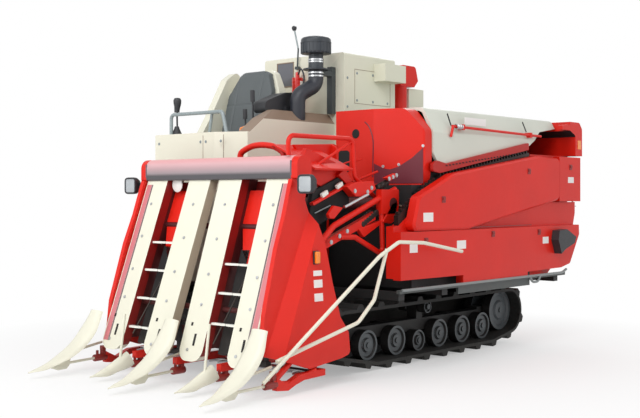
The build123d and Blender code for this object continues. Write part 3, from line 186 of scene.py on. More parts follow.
def weathering_group():
    """Slow change of shade and dust that settles low down, over Object coordinates."""
    group, source, sink = new_group("Weathering", [
        ("Color", "NodeSocketColor", (0.5, 0.5, 0.5, 1)), ("Roughness", "NodeSocketFloat", 0.4),
        ("Shade", "NodeSocketFloat", 0.06), ("Dust", "NodeSocketFloat", 0.2), ("Scale", "NodeSocketFloat", 3.0)],
        [("Color", "NodeSocketColor"), ("Roughness", "NodeSocketFloat")])
    given = source.outputs
    place = group.nodes.new("ShaderNodeTexCoord").outputs["Object"]
    noises = []
    for scale, detail in ((given["Scale"], 5), (9.0, 8), (40.0, 2)):
        noise = group.nodes.new("ShaderNodeTexNoise")
        for label, value in (("Vector", place), ("Scale", scale), ("Detail", detail)):
            feed(group, noise.inputs[label], value)
        noises.append(noise.outputs["Fac"])
    slow, patch, fine = noises
    shade = span(group, slow, 0.3, 0.7, maths(group, "SUBTRACT", 1.0, given["Shade"]))
    tint = mixed(group, 1.0, given["Color"], shade, "MULTIPLY")
    split = group.nodes.new("ShaderNodeSeparateXYZ")
    feed(group, split.inputs[0], place)
    low_down = maths(group, "MULTIPLY", span(group, split.outputs["Z"], DUST_TOP, 0.0), patch)
    amount = maths(group, "MULTIPLY", low_down, given["Dust"], clamp=True)
    feed(group, sink.inputs["Color"], mixed(group, amount, tint, DUST_COLOUR))
    rough = maths(group, "ADD", given["Roughness"], span(group, fine, 0.0, 1.0, -ROUGH_SWING, ROUGH_SWING))
    feed(group, sink.inputs["Roughness"], maths(group, "ADD", rough, amount, clamp=True))
    return group


def grain_group():
    """Height of a fine skin: orange peel of paint, moulded grain or cast skin."""
    group, source, sink = new_group("Grain", [
        ("Scale", "NodeSocketFloat", 200.0), ("Cells", "NodeSocketFloat", 0.0)], [("Height", "NodeSocketFloat")])
    add, join = group.nodes.new, group.links.new
    place = add("ShaderNodeTexCoord")
    soft = add("ShaderNodeTexNoise")
    cells = add("ShaderNodeTexVoronoi")
    for texture in (soft, cells):
        join(place.outputs["Object"], texture.inputs["Vector"])
        join(source.outputs["Scale"], texture.inputs["Scale"])
    blend = add("ShaderNodeMix")
    join(source.outputs["Cells"], blend.inputs[0])
    join(soft.outputs["Fac"], blend.inputs[2])
    join(cells.outputs["Distance"], blend.inputs[3])
    join(blend.outputs[0], sink.inputs["Height"])
    return group


GROUPS = {}
MATERIALS = {}
SLOTS = {}
COAT_ROUGH = 0.12               # roughness of the clear coat
RELIEF_DEPTH = 0.002            # depth of a fine skin


def finish(name, slot, base, rough, metal=0.0, coat=0.0, gleam=0.5, shade=0.06, dust=0.15, scale=3.0, skin=200.0,
           cells=0.0, bump=0.05, source=None):
    """Material of one finish; source makes its colour in the tree, in place of a plain one."""
    material = bpy.data.materials.new(name)
    material.use_nodes = True
    tree = material.node_tree
    shader = tree.nodes["Principled BSDF"]
    wear, grain = tree.nodes.new("ShaderNodeGroup"), tree.nodes.new("ShaderNodeGroup")
    wear.node_tree, grain.node_tree = GROUPS["weathering"], GROUPS["grain"]
    relief = tree.nodes.new("ShaderNodeBump")
    colour_in = source(tree) if source else base
    for node, values in (
            (wear, {"Color": colour_in, "Roughness": rough, "Shade": shade, "Dust": dust, "Scale": scale}),
            (grain, {"Scale": skin, "Cells": cells}),
            (relief, {"Strength": bump, "Distance": RELIEF_DEPTH, "Height": grain.outputs["Height"]}),
            (shader, {"Metallic": metal, "Coat Weight": coat, "Coat Roughness": COAT_ROUGH,
                      "Specular IOR Level": gleam, "Base Color": wear.outputs["Color"],
                      "Roughness": wear.outputs["Roughness"], "Normal": relief.outputs["Normal"]})):
        for label, value in values.items():
            feed(tree, node.inputs[label], value)
    MATERIALS[name], SLOTS[name] = material, slot
    return material


def bar_fade(tree):
    """Colour of the bar's cover: pale red above, darkening to grey towards its foot."""
    paint = bpy.context.scene.combine_paint
    place, split = tree.nodes.new("ShaderNodeTexCoord"), tree.nodes.new("ShaderNodeSeparateXYZ")
    feed(tree, split.inputs[0], place.outputs["Object"])
    fade = tree.nodes.new("ShaderNodeValToRGB")
    stops = fade.color_ramp.elements
    stops[0].position, stops[0].color = 0.22, tuple(paint.bar_grey)
    stops[1].position, stops[1].color = 1.0, tuple(paint.pink)
    for position, value in ((0.34, (150, 136, 140)), (0.75, (212, 168, 172))):
        stops.new(position).color = linear(value)
    feed(tree, fade.inputs["Fac"], span(tree, split.outputs["Z"], BAR_LOW[2], BAR_HIGH[2]))
    return fade.outputs["Color"]


def make_finishes():
    """Every finish of the machine."""
    paint = bpy.context.scene.combine_paint
    GROUPS["weathering"], GROUPS["grain"] = weathering_group(), grain_group()
    red, cream, black = tuple(paint.red), tuple(paint.cream), tuple(paint.frame)
    finish("red enamel", "red_paint", red, 0.42, coat=0.04, gleam=0.3, shade=0.1, dust=0.06, skin=260)
    # darker red of the latches, clamps and throat plates; also the painted shade along a panel crease
    finish("deep red and crease shade", "red_paint", linear((140, 22, 20)), 0.45, shade=0.15, dust=0.1, skin=260)
    finish("rail red", "red_paint", linear((182, 34, 28)), 0.42, gleam=0.3, shade=0.12, dust=0.05, skin=260)
    # maroon: painted shade on the front housing's lower swept part, and its seam
    finish("maroon and painted shade", "red_paint", linear((104, 22, 40)), 0.4, shade=0.12, dust=0.05, skin=260)
    finish("dark maroon", "red_paint", linear((74, 16, 18)), 0.5, shade=0.2, dust=0.1, skin=260)
    finish("cream enamel", "cream_paint", cream, 0.42, coat=0.08, shade=0.035, dust=0.1, skin=260)
    finish("tank cream", "cream_paint", linear((222, 222, 203)), 0.4, coat=0.1, shade=0.05, dust=0.1, skin=260)
    finish("cover cream", "cream_paint", linear((214, 217, 205)), 0.42, coat=0.05, shade=0.05, dust=0.05)
    # darker beige: painted shade on the second raking case's side wall; also the colour of the conveyor's feeler
    finish("beige and case wall shade", "cream_paint", linear((188, 172, 150)), 0.5, shade=0.1, dust=0.05)
    finish("shaded cream", "cream_paint", linear((190, 170, 148)), 0.45, shade=0.08, dust=0.1)
    finish("brown edge", "cream_paint", linear((140, 118, 100)), 0.45, shade=0.08, dust=0.1)
    finish("frame black", "black_paint", black, 0.6, shade=0.25, dust=0.05, skin=180, bump=0.1)
    # near black of slots, slits, ports and openings: painted shade where only shade shows
    finish("opening shade black", "black_paint", linear((14, 13, 15)), 0.8, shade=0.3, dust=0.1)
    finish("rail grey", "grey_paint", tuple(paint.rail), 0.45, shade=0.12, dust=0.35, skin=220)
    finish("rail tube", "grey_paint", linear((132, 138, 138)), 0.4, coat=0.1, shade=0.1, dust=0.05)
    finish("wheel grey", "grey_paint", linear((82, 88, 92)), 0.5, shade=0.3, dust=0.05, skin=160, bump=0.12)
    finish("handrail grey", "grey_paint", linear((140, 152, 154)), 0.36, coat=0.2, shade=0.05, dust=0.0)
    finish("chain steel", "chain_steel", linear((58, 52, 50)), 0.42, metal=0.7, shade=0.3, dust=0.25, bump=0.15)
    finish("bright steel", "bright_steel", linear((190, 192, 194)), 0.28, metal=1.0, shade=0.1, dust=0.1)
    finish("track rubber", "track_rubber", tuple(paint.rubber), 0.72, shade=0.3, dust=0.06, skin=90, bump=0.35)
    finish("hose rubber", "hose_rubber", tuple(paint.hose), 0.5, shade=0.15, dust=0.1, skin=150, bump=0.2)
    finish("moulded black", "black_plastic", linear((38, 39, 43)), 0.5, shade=0.12, dust=0.15, skin=900,
           cells=1.0, bump=0.15)
    finish("cleaner plastic", "black_plastic", linear((42, 48, 55)), 0.42, shade=0.08, dust=0.05, skin=700,
           cells=1.0, bump=0.1)
    finish("finger white", "white_plastic", linear((240, 240, 232)), 0.35, shade=0.05, dust=0.05)
    finish("blank plate", "white_plastic", linear((240, 236, 233)), 0.4, shade=0.04, dust=0.02)
    finish("seat vinyl", "seat_fabric", tuple(paint.seat), 0.55, shade=0.1, dust=0.0, skin=500, cells=1.0,
           bump=0.3)
    finish("amber lens", "amber", tuple(paint.amber), 0.18, coat=0.6, shade=0.05, dust=0.0)
    finish("bar cover", "red_paint", red, 0.34, coat=0.2, shade=0.03, dust=0.0, source=bar_fade)
    finish("case stripe", "red_paint", linear((206, 122, 128)), 0.4, shade=0.05, dust=0.05)
    finish("stripe grey", "black_paint", linear((104, 84, 92)), 0.45, shade=0.08, dust=0.05)
    finish("lamp glass", "white_plastic", linear((168, 174, 178)), 0.08, coat=0.8, shade=0.1, dust=0.0, skin=260,
           cells=1.0, bump=0.5)
    finish("tank glass", "black_plastic", linear((98, 100, 108)), 0.12, coat=0.5, shade=0.05, dust=0.0)
    finish("fire red", "red_paint", linear((214, 32, 24)), 0.28, coat=0.4, shade=0.03, dust=0.0)
    finish("straw yellow", "amber", linear((206, 206, 60)), 0.5, shade=0.1, dust=0.05)


# ---- mesh pieces -----------------------------------------------------------------------------

def make_piece(name, mesh, material, body, crease=0.6, bevel=0.0):
    """Object of a bmesh that rides on a body with its finish."""
    bmesh.ops.remove_doubles(mesh, verts=mesh.verts, dist=1e-6)
    bmesh.ops.recalc_face_normals(mesh, faces=mesh.faces)
    data = bpy.data.meshes.new(name)
    mesh.to_mesh(data)
    mesh.free()
    data.materials.append(MATERIALS[material])
    data.shade_smooth()
    data.set_sharp_from_angle(angle=crease)
    piece = bpy.data.objects.new(name, data)
    bpy.context.scene.collection.objects.link(piece)
    if bevel:
        edge = piece.modifiers.new("edge", "BEVEL")
        edge.width, edge.segments, edge.limit_method, edge.angle_limit = bevel, 2, "ANGLE", 0.7
    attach(piece, body)
    return piece


def walls(mesh, rings):
    """Walls between rings of vertices, with a face over each end."""
    for low, high in zip(rings, rings[1:]):
        count = len(low)
        for k in range(count):
            mesh.faces.new((low[k], low[(k + 1) % count], high[(k + 1) % count], high[k]))
    mesh.faces.new(rings[0][::-1])
    mesh.faces.new(rings[-1])


def add_prism(mesh, outline, axis, low, high):
    """Prism of an outline in the plane across an axis: (y, z), (x, z) or (x, y)."""
    place = {"x": lambda a, b, t: (t, a, b), "y": lambda a, b, t: (a, t, b), "z": lambda a, b, t: (a, b, t)}[axis]
    walls(mesh, [[mesh.verts.new(place(a, b, t)) for a, b in outline] for t in (low, high)])


def add_box(mesh, low, high, turn=None):
    """Box between two corners, turned about its middle."""
    made = bmesh.ops.create_cube(mesh, size=1.0)["verts"]
    middle = (Vector(low) + Vector(high)) / 2
    size = Vector(high) - Vector(low)
    for vertex in made:
        place = Vector(vertex.co[i] * size[i] for i in range(3))
        vertex.co = (turn @ place if turn else place) + middle


def add_beam(mesh, start, end, width, depth, up=(0, 0, 1)):
    """Flat bar from point to point; depth runs along up."""
    start, end = Vector(start), Vector(end)
    ahead = (end - start).normalized()
    side = ahead.cross(Vector(up)).normalized() * width / 2
    rise = side.cross(ahead).normalized() * depth / 2
    walls(mesh, [[mesh.verts.new(p + side * a + rise * b) for a, b in ((-1, -1), (1, -1), (1, 1), (-1, 1))]
                 for p in (start, end)])


def rounded(points, radius, steps=6):
    """Points of a path whose corners are rounded."""
    points = [Vector(p) for p in points]
    path = [points[0]]
    for before, corner, after in zip(points, points[1:], points[2:]):
        back, ahead = (before - corner), (after - corner)
        cut = min(radius, back.length * 0.48, ahead.length * 0.48)
        start, end = corner + back.normalized() * cut, corner + ahead.normalized() * cut
        for i in range(steps + 1):
            t = i / steps
            path.append(start.lerp(corner, t).lerp(corner.lerp(end, t), t))
    return path + [points[-1]]


def add_tube(mesh, points, radius, bend=0.0, sides=None):
    """Round bar along a path."""
    sides = sides or bpy.context.scene.combine_sizes.tube_sides
    path = rounded(points, bend) if bend else [Vector(p) for p in points]
    ahead = (path[1] - path[0]).normalized()
    side = ahead.orthogonal().normalized()
    rings = []
    for i, point in enumerate(path):
        if i:
            run = path[min(i + 1, len(path) - 1)] - path[i - 1]
            turn = ahead.rotation_difference(run.normalized())
            ahead, side = run.normalized(), (turn @ side).normalized()
        other = ahead.cross(side)
        rings.append([mesh.verts.new(point + radius * (math.cos(a) * side + math.sin(a) * other))
                      for a in (2 * math.pi * k / sides for k in range(sides))])
    walls(mesh, rings)


def add_coil(mesh, start, end, steps, turn, reach, radius, sides):
    """Coil spring between two points; turn is the angle of a step and reach the coil's radius."""
    start, end = Vector(start), Vector(end)
    add_tube(mesh, [start.lerp(end, i / steps) + Vector((math.cos(i * turn), 0, math.sin(i * turn))) * reach
                    for i in range(steps + 1)], radius, sides=sides)


def round_plate(left, right, foot, top, corner):
    """Outline of a plate with round corners."""
    middles = ((right - corner, top - corner), (left + corner, top - corner), (left + corner, foot + corner),
               (right - corner, foot + corner))
    angles = [[math.radians(90 * quarter + 18 * k) for k in range(6)] for quarter in range(4)]
    return [(a + corner * math.cos(turn), b + corner * math.sin(turn))
            for (a, b), arc in zip(middles, angles) for turn in arc]


def add_lathe(mesh, profile, origin, axis=(0, 0, 1), sides=32):
    """Turned piece; profile in (radius, distance along the axis), closed at radius 0."""
    turn = Vector((0, 0, 1)).rotation_difference(Vector(axis)).to_matrix()
    rings = []
    for radius, run in profile:
        if radius < 1e-6:
            rings.append([mesh.verts.new(turn @ Vector((0, 0, run)) + Vector(origin))])
        else:
            rings.append([mesh.verts.new(turn @ Vector((radius * math.cos(a), radius * math.sin(a), run))
                                         + Vector(origin)) for a in (2 * math.pi * k / sides for k in range(sides))])
    for low, high in zip(rings, rings[1:]):
        for k in range(sides):
            n = (k + 1) % sides
            if len(low) == 1:
                mesh.faces.new((low[0], high[n], high[k]))
            elif len(high) == 1:
                mesh.faces.new((low[k], low[n], high[0]))
            else:
                mesh.faces.new((low[k], low[n], high[n], high[k]))


def add_hoop(mesh, inner, outer, low, high, origin):
    """Flat hoop round an upright line."""
    add_lathe(mesh, [(inner, low), (outer, low), (outer, high), (inner, high), (inner, low)], origin)


def tubes(name, runs, radius, material, body, bend=0.03):
    """One piece of several round bars."""
    mesh = bmesh.new()
    for points in runs:
        add_tube(mesh, points, radius, bend)
    return make_piece(name, mesh, material, body)


def boxes(name, pairs, material, body, bevel=0.003):
    """One piece of several boxes with softened edges."""
    mesh = bmesh.new()
    for low, high in pairs:
        add_box(mesh, low, high)
    return make_piece(name, mesh, material, body, bevel=bevel)


def on_case(side, way, across, z, out=0.0):
    """Point on a raking case's front: across its width, at a height, out of its face."""
    down = (BAR_LOW[2] - z) / (BAR_LOW[2] - CASE_LOW[2])
    x = HEAD_X + side * (CASE_PAIR + CASE_SPREAD * down) + way * CASE_OFF + across
    y = CASE_HIGH[1] - CASE_STEP + (z - BAR_LOW[2]) * LEAN
    run = math.hypot(1, LEAN)
    return (x, y - out / run, z + out * LEAN / run)


# ---- what repeats ---------------------------------------------------------------------------

TREES = {}
WASHER_SIDES, WASHER_RADIUS, WASHER_HEIGHT = 16, 1.45, 0.45     # radius and height against the head's


def screw_item(tree, given):
    """Screw head on its washer."""
    both = tree.nodes.new("GeometryNodeJoinGeometry")
    for sides, radius, height in (
            (given["Sides"], given["Radius"], given["Height"]),
            (WASHER_SIDES, maths(tree, "MULTIPLY", given["Radius"], WASHER_RADIUS),
             maths(tree, "MULTIPLY", given["Height"], WASHER_HEIGHT))):
        disc = tree.nodes.new("GeometryNodeMeshCylinder")
        for label, value in (("Vertices", sides), ("Radius", radius), ("Depth", height)):
            feed(tree, disc.inputs[label], value)
        tree.links.new(disc.outputs["Mesh"], both.inputs[0])
    return both.outputs[0]


def slat_item(tree, given):
    """Plain slat."""
    slat = tree.nodes.new("GeometryNodeMeshCube")
    feed(tree, slat.inputs["Size"], given["Size"])
    return slat.outputs["Mesh"]


def repeat_tree(name, inputs, make_item, axis):
    """Geometry tree that puts an item on every point, with an axis of it along the point's facing."""
    tree = bpy.data.node_groups.new(name, "GeometryNodeTree")
    for label, kind, default in (("Geometry", "NodeSocketGeometry", None), *inputs,
                                 ("Material", "NodeSocketMaterial", None)):
        socket = tree.interface.new_socket(label, in_out="INPUT", socket_type=kind)
        if default is not None:
            socket.default_value = default
    tree.interface.new_socket("Geometry", in_out="OUTPUT", socket_type="NodeSocketGeometry")
    add = tree.nodes.new
    source, facing = add("NodeGroupInput"), add("GeometryNodeInputNamedAttribute")
    turn = add("FunctionNodeAlignRotationToVector")
    facing.data_type, turn.axis = "FLOAT_VECTOR", axis
    spread, real = add("GeometryNodeInstanceOnPoints"), add("GeometryNodeRealizeInstances")
    paint = add("GeometryNodeSetMaterial")
    for node, label, value in (
            (facing, "Name", "facing"),
            (turn, "Vector", facing.outputs["Attribute"]),
            (spread, "Points", source.outputs["Geometry"]),
            (spread, "Instance", make_item(tree, source.outputs)),
            (spread, "Rotation", turn.outputs["Rotation"]),
            (real, "Geometry", spread.outputs["Instances"]),
            (paint, "Geometry", real.outputs["Geometry"]),
            (paint, "Material", source.outputs["Material"]),
            (add("NodeGroupOutput"), "Geometry", paint.outputs["Geometry"])):
        feed(tree, node.inputs[label], value)
    return tree


def make_trees():
    """Trees of all that repeats."""
    TREES["fasteners"] = repeat_tree("Fasteners", (
        ("Radius", "NodeSocketFloat", 0.01), ("Height", "NodeSocketFloat", 0.005), ("Sides", "NodeSocketInt", 6)),
        screw_item, "Z")
    TREES["slats"] = repeat_tree("Slats", (("Size", "NodeSocketVector", (0.01, 0.1, 0.02)),), slat_item, "X")


def add_repeats(mesh, tree, places, material, **values):
    """Add what a tree makes at (point, facing) places."""
    data = bpy.data.meshes.new("places")
    data.from_pydata([tuple(point) for point, _ in places], [], [])
    facing = data.attributes.new("facing", "FLOAT_VECTOR", "POINT")
    for i, (_, way) in enumerate(places):
        facing.data[i].vector = way
    carrier = bpy.data.objects.new("places", data)
    bpy.context.scene.collection.objects.link(carrier)
    modifier = carrier.modifiers.new("repeat", "NODES")
    modifier.node_group = TREES[tree]
    values["Material"] = MATERIALS[material]
    for item in TREES[tree].interface.items_tree:
        if item.in_out == "INPUT" and item.name in values:
            modifier[item.identifier] = values[item.name]
    bpy.context.view_layer.update()
    made = bpy.data.meshes.new_from_object(carrier.evaluated_get(bpy.context.evaluated_depsgraph_get()))
    bpy.data.objects.remove(carrier)
    mesh.from_mesh(made)
    bpy.data.meshes.remove(made)
    bpy.data.meshes.remove(data)


def fasteners(name, places, material, body, radius=None):
    """Screws at (point, facing) places."""
    radius = radius or bpy.context.scene.combine_sizes.screw
    mesh = bmesh.new()
    add_repeats(mesh, "fasteners", places, material, Radius=radius, Height=radius * 0.9, Sides=6)
    return make_piece(name, mesh, material, body)


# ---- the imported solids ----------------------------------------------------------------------

FINISHES = {
    "rail grey": ("side_rail", "cleaner_post"),
    "handrail grey": ("handrail",),
    "wheel grey": ("rollers",),
    "track rubber": ("track_left", "track_right"),
    "frame black": ("cross_channels", "track_frames", "final_drive", "chassis_frame", "header_stands", "thresher_case",
                    "threshing_chamber", "bag_platform", "engine", "operator_deck", "lift_barrel"),
    "chain steel": ("threshing_drum", "feed_chain"),
    "bright steel": ("cutter_bar", "lift_rod"),
    "red enamel": ("thresher_front", "cover_rod", "upper_side_cover", "lower_side_panel", "rear_flank",
                   "straw_hood", "tank_base", "grain_elevator", "radiator_screen", "divider_arms", "rear_side_door",
                   "side_cover_left", "side_cover_right", "conveyor", "upper_pipe", "rear_case"),
    "deep red and crease shade": ("throat_plates",),
    "rail red": ("clamp_rail",),
    "dark maroon": ("header_frame",),
    "cover cream": ("thresher_cover",),
    "bar cover": ("top_bar",),
    "cream enamel": ("bagging_spouts", "console", "seat_shell", "raking_cases", "dividers",
                     "crop_guide"),
    "tank cream": ("grain_tank",),
    "finger white": ("raking_tines",),
    "moulded black": ("dust_outlet", "engine_cover", "levers", "headlights", "star_wheels"),
    "cleaner plastic": ("pre_cleaner",),
    "hose rubber": ("air_hose",),
    "seat vinyl": ("seat_cushions",),
    "amber lens": ("beacon",),
    "fire red": ("extinguisher",),
}


def zone(node, material, test):
    """Second finish on the faces of a node whose middle and facing pass a test."""
    data = NODES[node].data
    data.materials.append(MATERIALS[material])
    index = len(data.materials) - 1
    for face in data.polygons:
        if test(face.center, face.normal):
            face.material_index = index


def dress_nodes():
    """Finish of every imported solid."""
    for material, nodes in FINISHES.items():
        for name in nodes:
            data = NODES[name].data
            data.materials.clear()
            data.materials.append(MATERIALS[material])
            for face in data.polygons:
                face.material_index = 0
    lit_front_end = TANK_LOW[0] + 0.46      # painted light: the tank's front is a lighter cream up to here
    front = CONSOLE_LOW[1] + 0.01
    zone("console", "brown edge", lambda c, n: c.y > front and c.x > SIDE_BOX_X and n.z >= 0.5)
    # painted shade: black on the straw hood's undersides and inner faces
    zone("straw_hood", "opening shade black", lambda c, n: n.z < -0.3 or (c.y > 1.85 and n.y < -0.5) or
         (n.x < -0.5 and c.x > 0))
    zone("rollers", "frame black", lambda c, n: abs(n.x) < 0.5)
    # painted light: lighter cream on the tank's front faces up to lit_front_end
    zone("grain_tank", "cream enamel", lambda c, n: n.y < -0.5 and c.x < lit_front_end)
    zone("cleaner_post", "handrail grey", lambda c, n: c.z > CLEANER_HIGH[2] - 0.03)
    # side walls of the cases facing +x: deep red on the first and third, painted shade in darker beige on the second
    for start, end, material in ((-1.0, -0.3, "deep red and crease shade"), (-0.3, 0.1, "beige and case wall shade"),
                                 (0.1, 0.4, "deep red and crease shade")):
        zone("raking_cases", material, lambda c, n: n.x > 0.8 and start < c.x < end)


# ---- header ---------------------------------------------------------------------------------

CASES = ((-1, -1), (-1, 1), (1, -1), (1, 1))
FRONT = (0, -1, LEAN)           # facing of the cases
BAR_SEAM = 0.627                # from the header's middle to the seams at the bar's ends
LAMP_X, LAMP_HALF = 0.756, 0.056        # from the header's middle to a lamp's, and half its width
COVER_LEAN = 0.058              # run of the side cover's face per height


def build_cases():
    """Screws, foot slots, stripes and edge seams of the four raking cases."""
    screws, slots = [], bmesh.new()
    for side, way in CASES:
        screws += [(on_case(side, way, 0.0, z, 0.002), FRONT) for z in (1.03, 0.83, 0.63, 0.46)]
        screws.append((on_case(side, way, -0.03, 0.21, 0.002), FRONT))
        add_beam(slots, on_case(side, way, 0.01, 0.235), on_case(side, way, 0.01, 0.300), 0.016, 0.004, FRONT)
        add_beam(slots, on_case(side, way, -0.045, 0.35), on_case(side, way, -0.03, 0.35), 0.02, 0.004, FRONT)
    fasteners("case_screws", screws, "bright steel", "header")
    # the foot slots are black of painted shade
    make_piece("case_slots", slots, "opening shade black", "header")
    for name, material, across, width, thick in (("case_stripes", "case stripe", 0.066, 0.040, 0.003),
                                                 ("case_lines", "stripe grey", 0.038, 0.009, 0.0032)):
        mesh = bmesh.new()
        for side in (-1, 1):
            add_beam(mesh, on_case(side, side, side * across, 0.2), on_case(side, side, side * across, 1.15),
                     width, thick, FRONT)
        make_piece(name, mesh, material, "header")


def build_bar():
    """End seams of the bar across the header, with the hoop, hood and blank disc at it."""
    seams = [((x - 0.006, BAR_LOW[1] + 0.001, BAR_LOW[2] + 0.02), (x + 0.006, BAR_LOW[1] - 0.0005, BAR_HIGH[2] - 0.03))
             for x in (HEAD_X - BAR_SEAM, HEAD_X + BAR_SEAM)]
    boxes("bar_seams", seams, "stripe grey", "header", bevel=0)
    hoop = [(x, -0.90, z) for x, z in ((0.003, 1.290), (0.003, 1.345), (0.100, 1.385), (0.200, 1.390),
                                       (0.300, 1.375), (0.372, 1.335), (0.372, 1.280))]
    tubes("bar_hoop", [hoop], 0.019, "red enamel", "header", bend=0.06)
    mesh = bmesh.new()
    for outline, low, high in (
            (((0.300, 1.372), (0.330, 1.388), (0.660, 1.240), (0.654, 1.228), (0.330, 1.374)), -0.95, -0.60),
            (((0.20, 1.28), (0.45, 1.28), (0.44, 1.38), (0.40, 1.40), (0.24, 1.40), (0.20, 1.38)), -0.505, -0.495)):
        add_prism(mesh, outline, "y", low, high)
    make_piece("bar_hood", mesh, "red enamel", "header", bevel=0.002)
    mesh = bmesh.new()
    add_lathe(mesh, [(0, 0.008), (0.040, 0.008), (0.046, 0.004), (0.046, 0.0)], (-0.36, BAR_LOW[1] + 0.04, 1.150),
              (0, -1, 0))
    make_piece("blank_disc", mesh, "blank plate", "header")


def build_headlights():
    """Housings and lenses of the two lamps at the bar's ends, in place of their plain blocks."""
    low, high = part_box("headlights")
    rim = bpy.context.scene.combine_sizes.rim
    front, z, tall = low[1], (low[2] + high[2]) / 2, (high[2] - low[2]) / 2
    shells, glass = bmesh.new(), bmesh.new()
    # how far each ring lies behind the front, how far inside the outline, and its corner
    shell_rings = ((0.010, rim, 0.014), (0.0, rim - 0.002, 0.016), (0.001, 0.002, 0.024), (0.010, 0.0, 0.026),
                   (0.030, 0.002, 0.026), (high[1] - 0.002 - front, 0.016, 0.022))
    glass_rings = ((0.009, rim, 0.014), (0.003, rim, 0.014), (0.0005, rim + 0.014, 0.014))
    for side in (-1, 1):
        x = HEAD_X + side * LAMP_X
        for mesh, rings in ((shells, shell_rings), (glass, glass_rings)):
            walls(mesh, [[mesh.verts.new((x + a, front + back, z + b)) for a, b in round_plate(
                inset - LAMP_HALF, LAMP_HALF - inset, inset - tall, tall - inset, corner)]
                for back, inset, corner in rings])
        arm = sorted((x - side * 0.030, HEAD_X + side * 0.684))
        add_box(shells, (arm[0], high[1] - 0.026, z - 0.018), (arm[1], high[1] - 0.004, z + 0.018))
    shell = make_piece("lamp_housings", shells, "moulded black", "header")
    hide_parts("headlights")
    make_piece("lamp_lenses", glass, "lamp glass", "header")


def side_x(z):
    """Outer face of the header's left side cover behind its creases."""
    return HEAD_X + 0.7345 - COVER_LEAN * (z - 0.432)


def build_side_marks():
    """Side lamp and blank plates on the header's left side cover."""
    y, z = -1.020, 0.735
    x = side_x(z)
    for name, material, inner, outer, wide, tall, bevel in (
            ("side_lamp_base", "moulded black", -0.004, 0.006, 0.022, 0.038, 0.002),
            ("side_lamp", "amber lens", 0.004, 0.022, 0.018, 0.034, 0.006)):
        boxes(name, [((x + inner, y - wide, z - tall), (x + outer, y + wide, z + tall))], material, "header", bevel)
    plates = bmesh.new()
    lean = Matrix.Rotation(-math.atan(COVER_LEAN), 3, "Y")
    for z, tall in ((0.647, 0.030), (0.588, 0.044), (0.512, 0.044)):
        x = side_x(z)
        add_box(plates, (x - 0.003, -1.045, z - tall / 2), (x + 0.0015, -0.975, z + tall / 2), lean)
    make_piece("side_plates", plates, "blank plate", "header")


# each large divider: its place across the row, and how far its tip and its top lean along x
LARGE_DIVIDERS = ((-2, 0.000, 0.033), (0, 0.020, 0.000), (2, 0.012, -0.030))


def add_blade(mesh, spine, widths, depths):
    """Blade along a spine; each section is a shallow roof over a curved underside."""
    rings = []
    for i, point in enumerate(spine):
        ahead = (spine[min(i + 1, len(spine) - 1)] - spine[max(i - 1, 0)]).normalized()
        rise = Vector((1, 0, 0)).cross(ahead).normalized()
        rise = rise if rise.z > 0 else -rise
        w, d = widths[i], depths[i]
        rings.append([mesh.verts.new(point + Vector((a * w, 0, 0)) + rise * b * d) for a, b in (
            (-1.0, -0.75), (-0.86, -0.30), (-0.45, -0.04), (0.0, 0.0), (0.45, -0.04), (0.86, -0.30), (1.0, -0.75),
            (0.80, -0.90), (0.0, -1.0), (-0.80, -0.90))])
    walls(mesh, rings)


def profile(stops, t):
    """Value at t between (t, value) stops, eased."""
    for (a, low), (b, high) in zip(stops, stops[1:]):
        if t <= b:
            part = (t - a) / (b - a)
            return low + (high - low) * part * part * (3 - 2 * part)
    return stops[-1][1]


def add_clamp(mesh, x, z):
    """Sleeve with two bolts and a lug that holds a divider to its arm."""
    add_lathe(mesh, [(0, -0.045), (0.020, -0.045), (0.022, -0.040), (0.022, 0.040), (0.020, 0.045), (0, 0.045)],
              (x, -1.410, z), (0, 1, 0), sides=20)
    for y in (-1.430, -1.395):
        add_lathe(mesh, [(0, 0.0), (0.009, 0.0), (0.009, 0.034), (0, 0.036)], (x, y, 0.085), sides=8)
    add_box(mesh, (x - 0.014, -1.400, 0.070), (x + 0.014, -1.375, 0.145))


# half widths and depths of the blades, from tip to top
LARGE_WIDTHS = ((0, 0.004), (0.10, 0.030), (0.45, 0.066), (0.75, 0.074), (1.0, 0.056))
LARGE_DEPTHS = ((0, 0.008), (0.20, 0.030), (0.60, 0.050), (1.0, 0.034))
SMALL_WIDTHS = ((0, 0.003), (0.35, 0.026), (0.75, 0.036), (1.0, 0.026))
SMALL_DEPTHS = ((0, 0.008), (0.50, 0.060), (1.0, 0.100))
FIN = ((-1.780, 0.052), (-1.730, 0.034), (-1.668, 0.036), (-1.646, 0.060), (-1.640, 0.110), (-1.640, 0.150),
       (-1.700, 0.110))


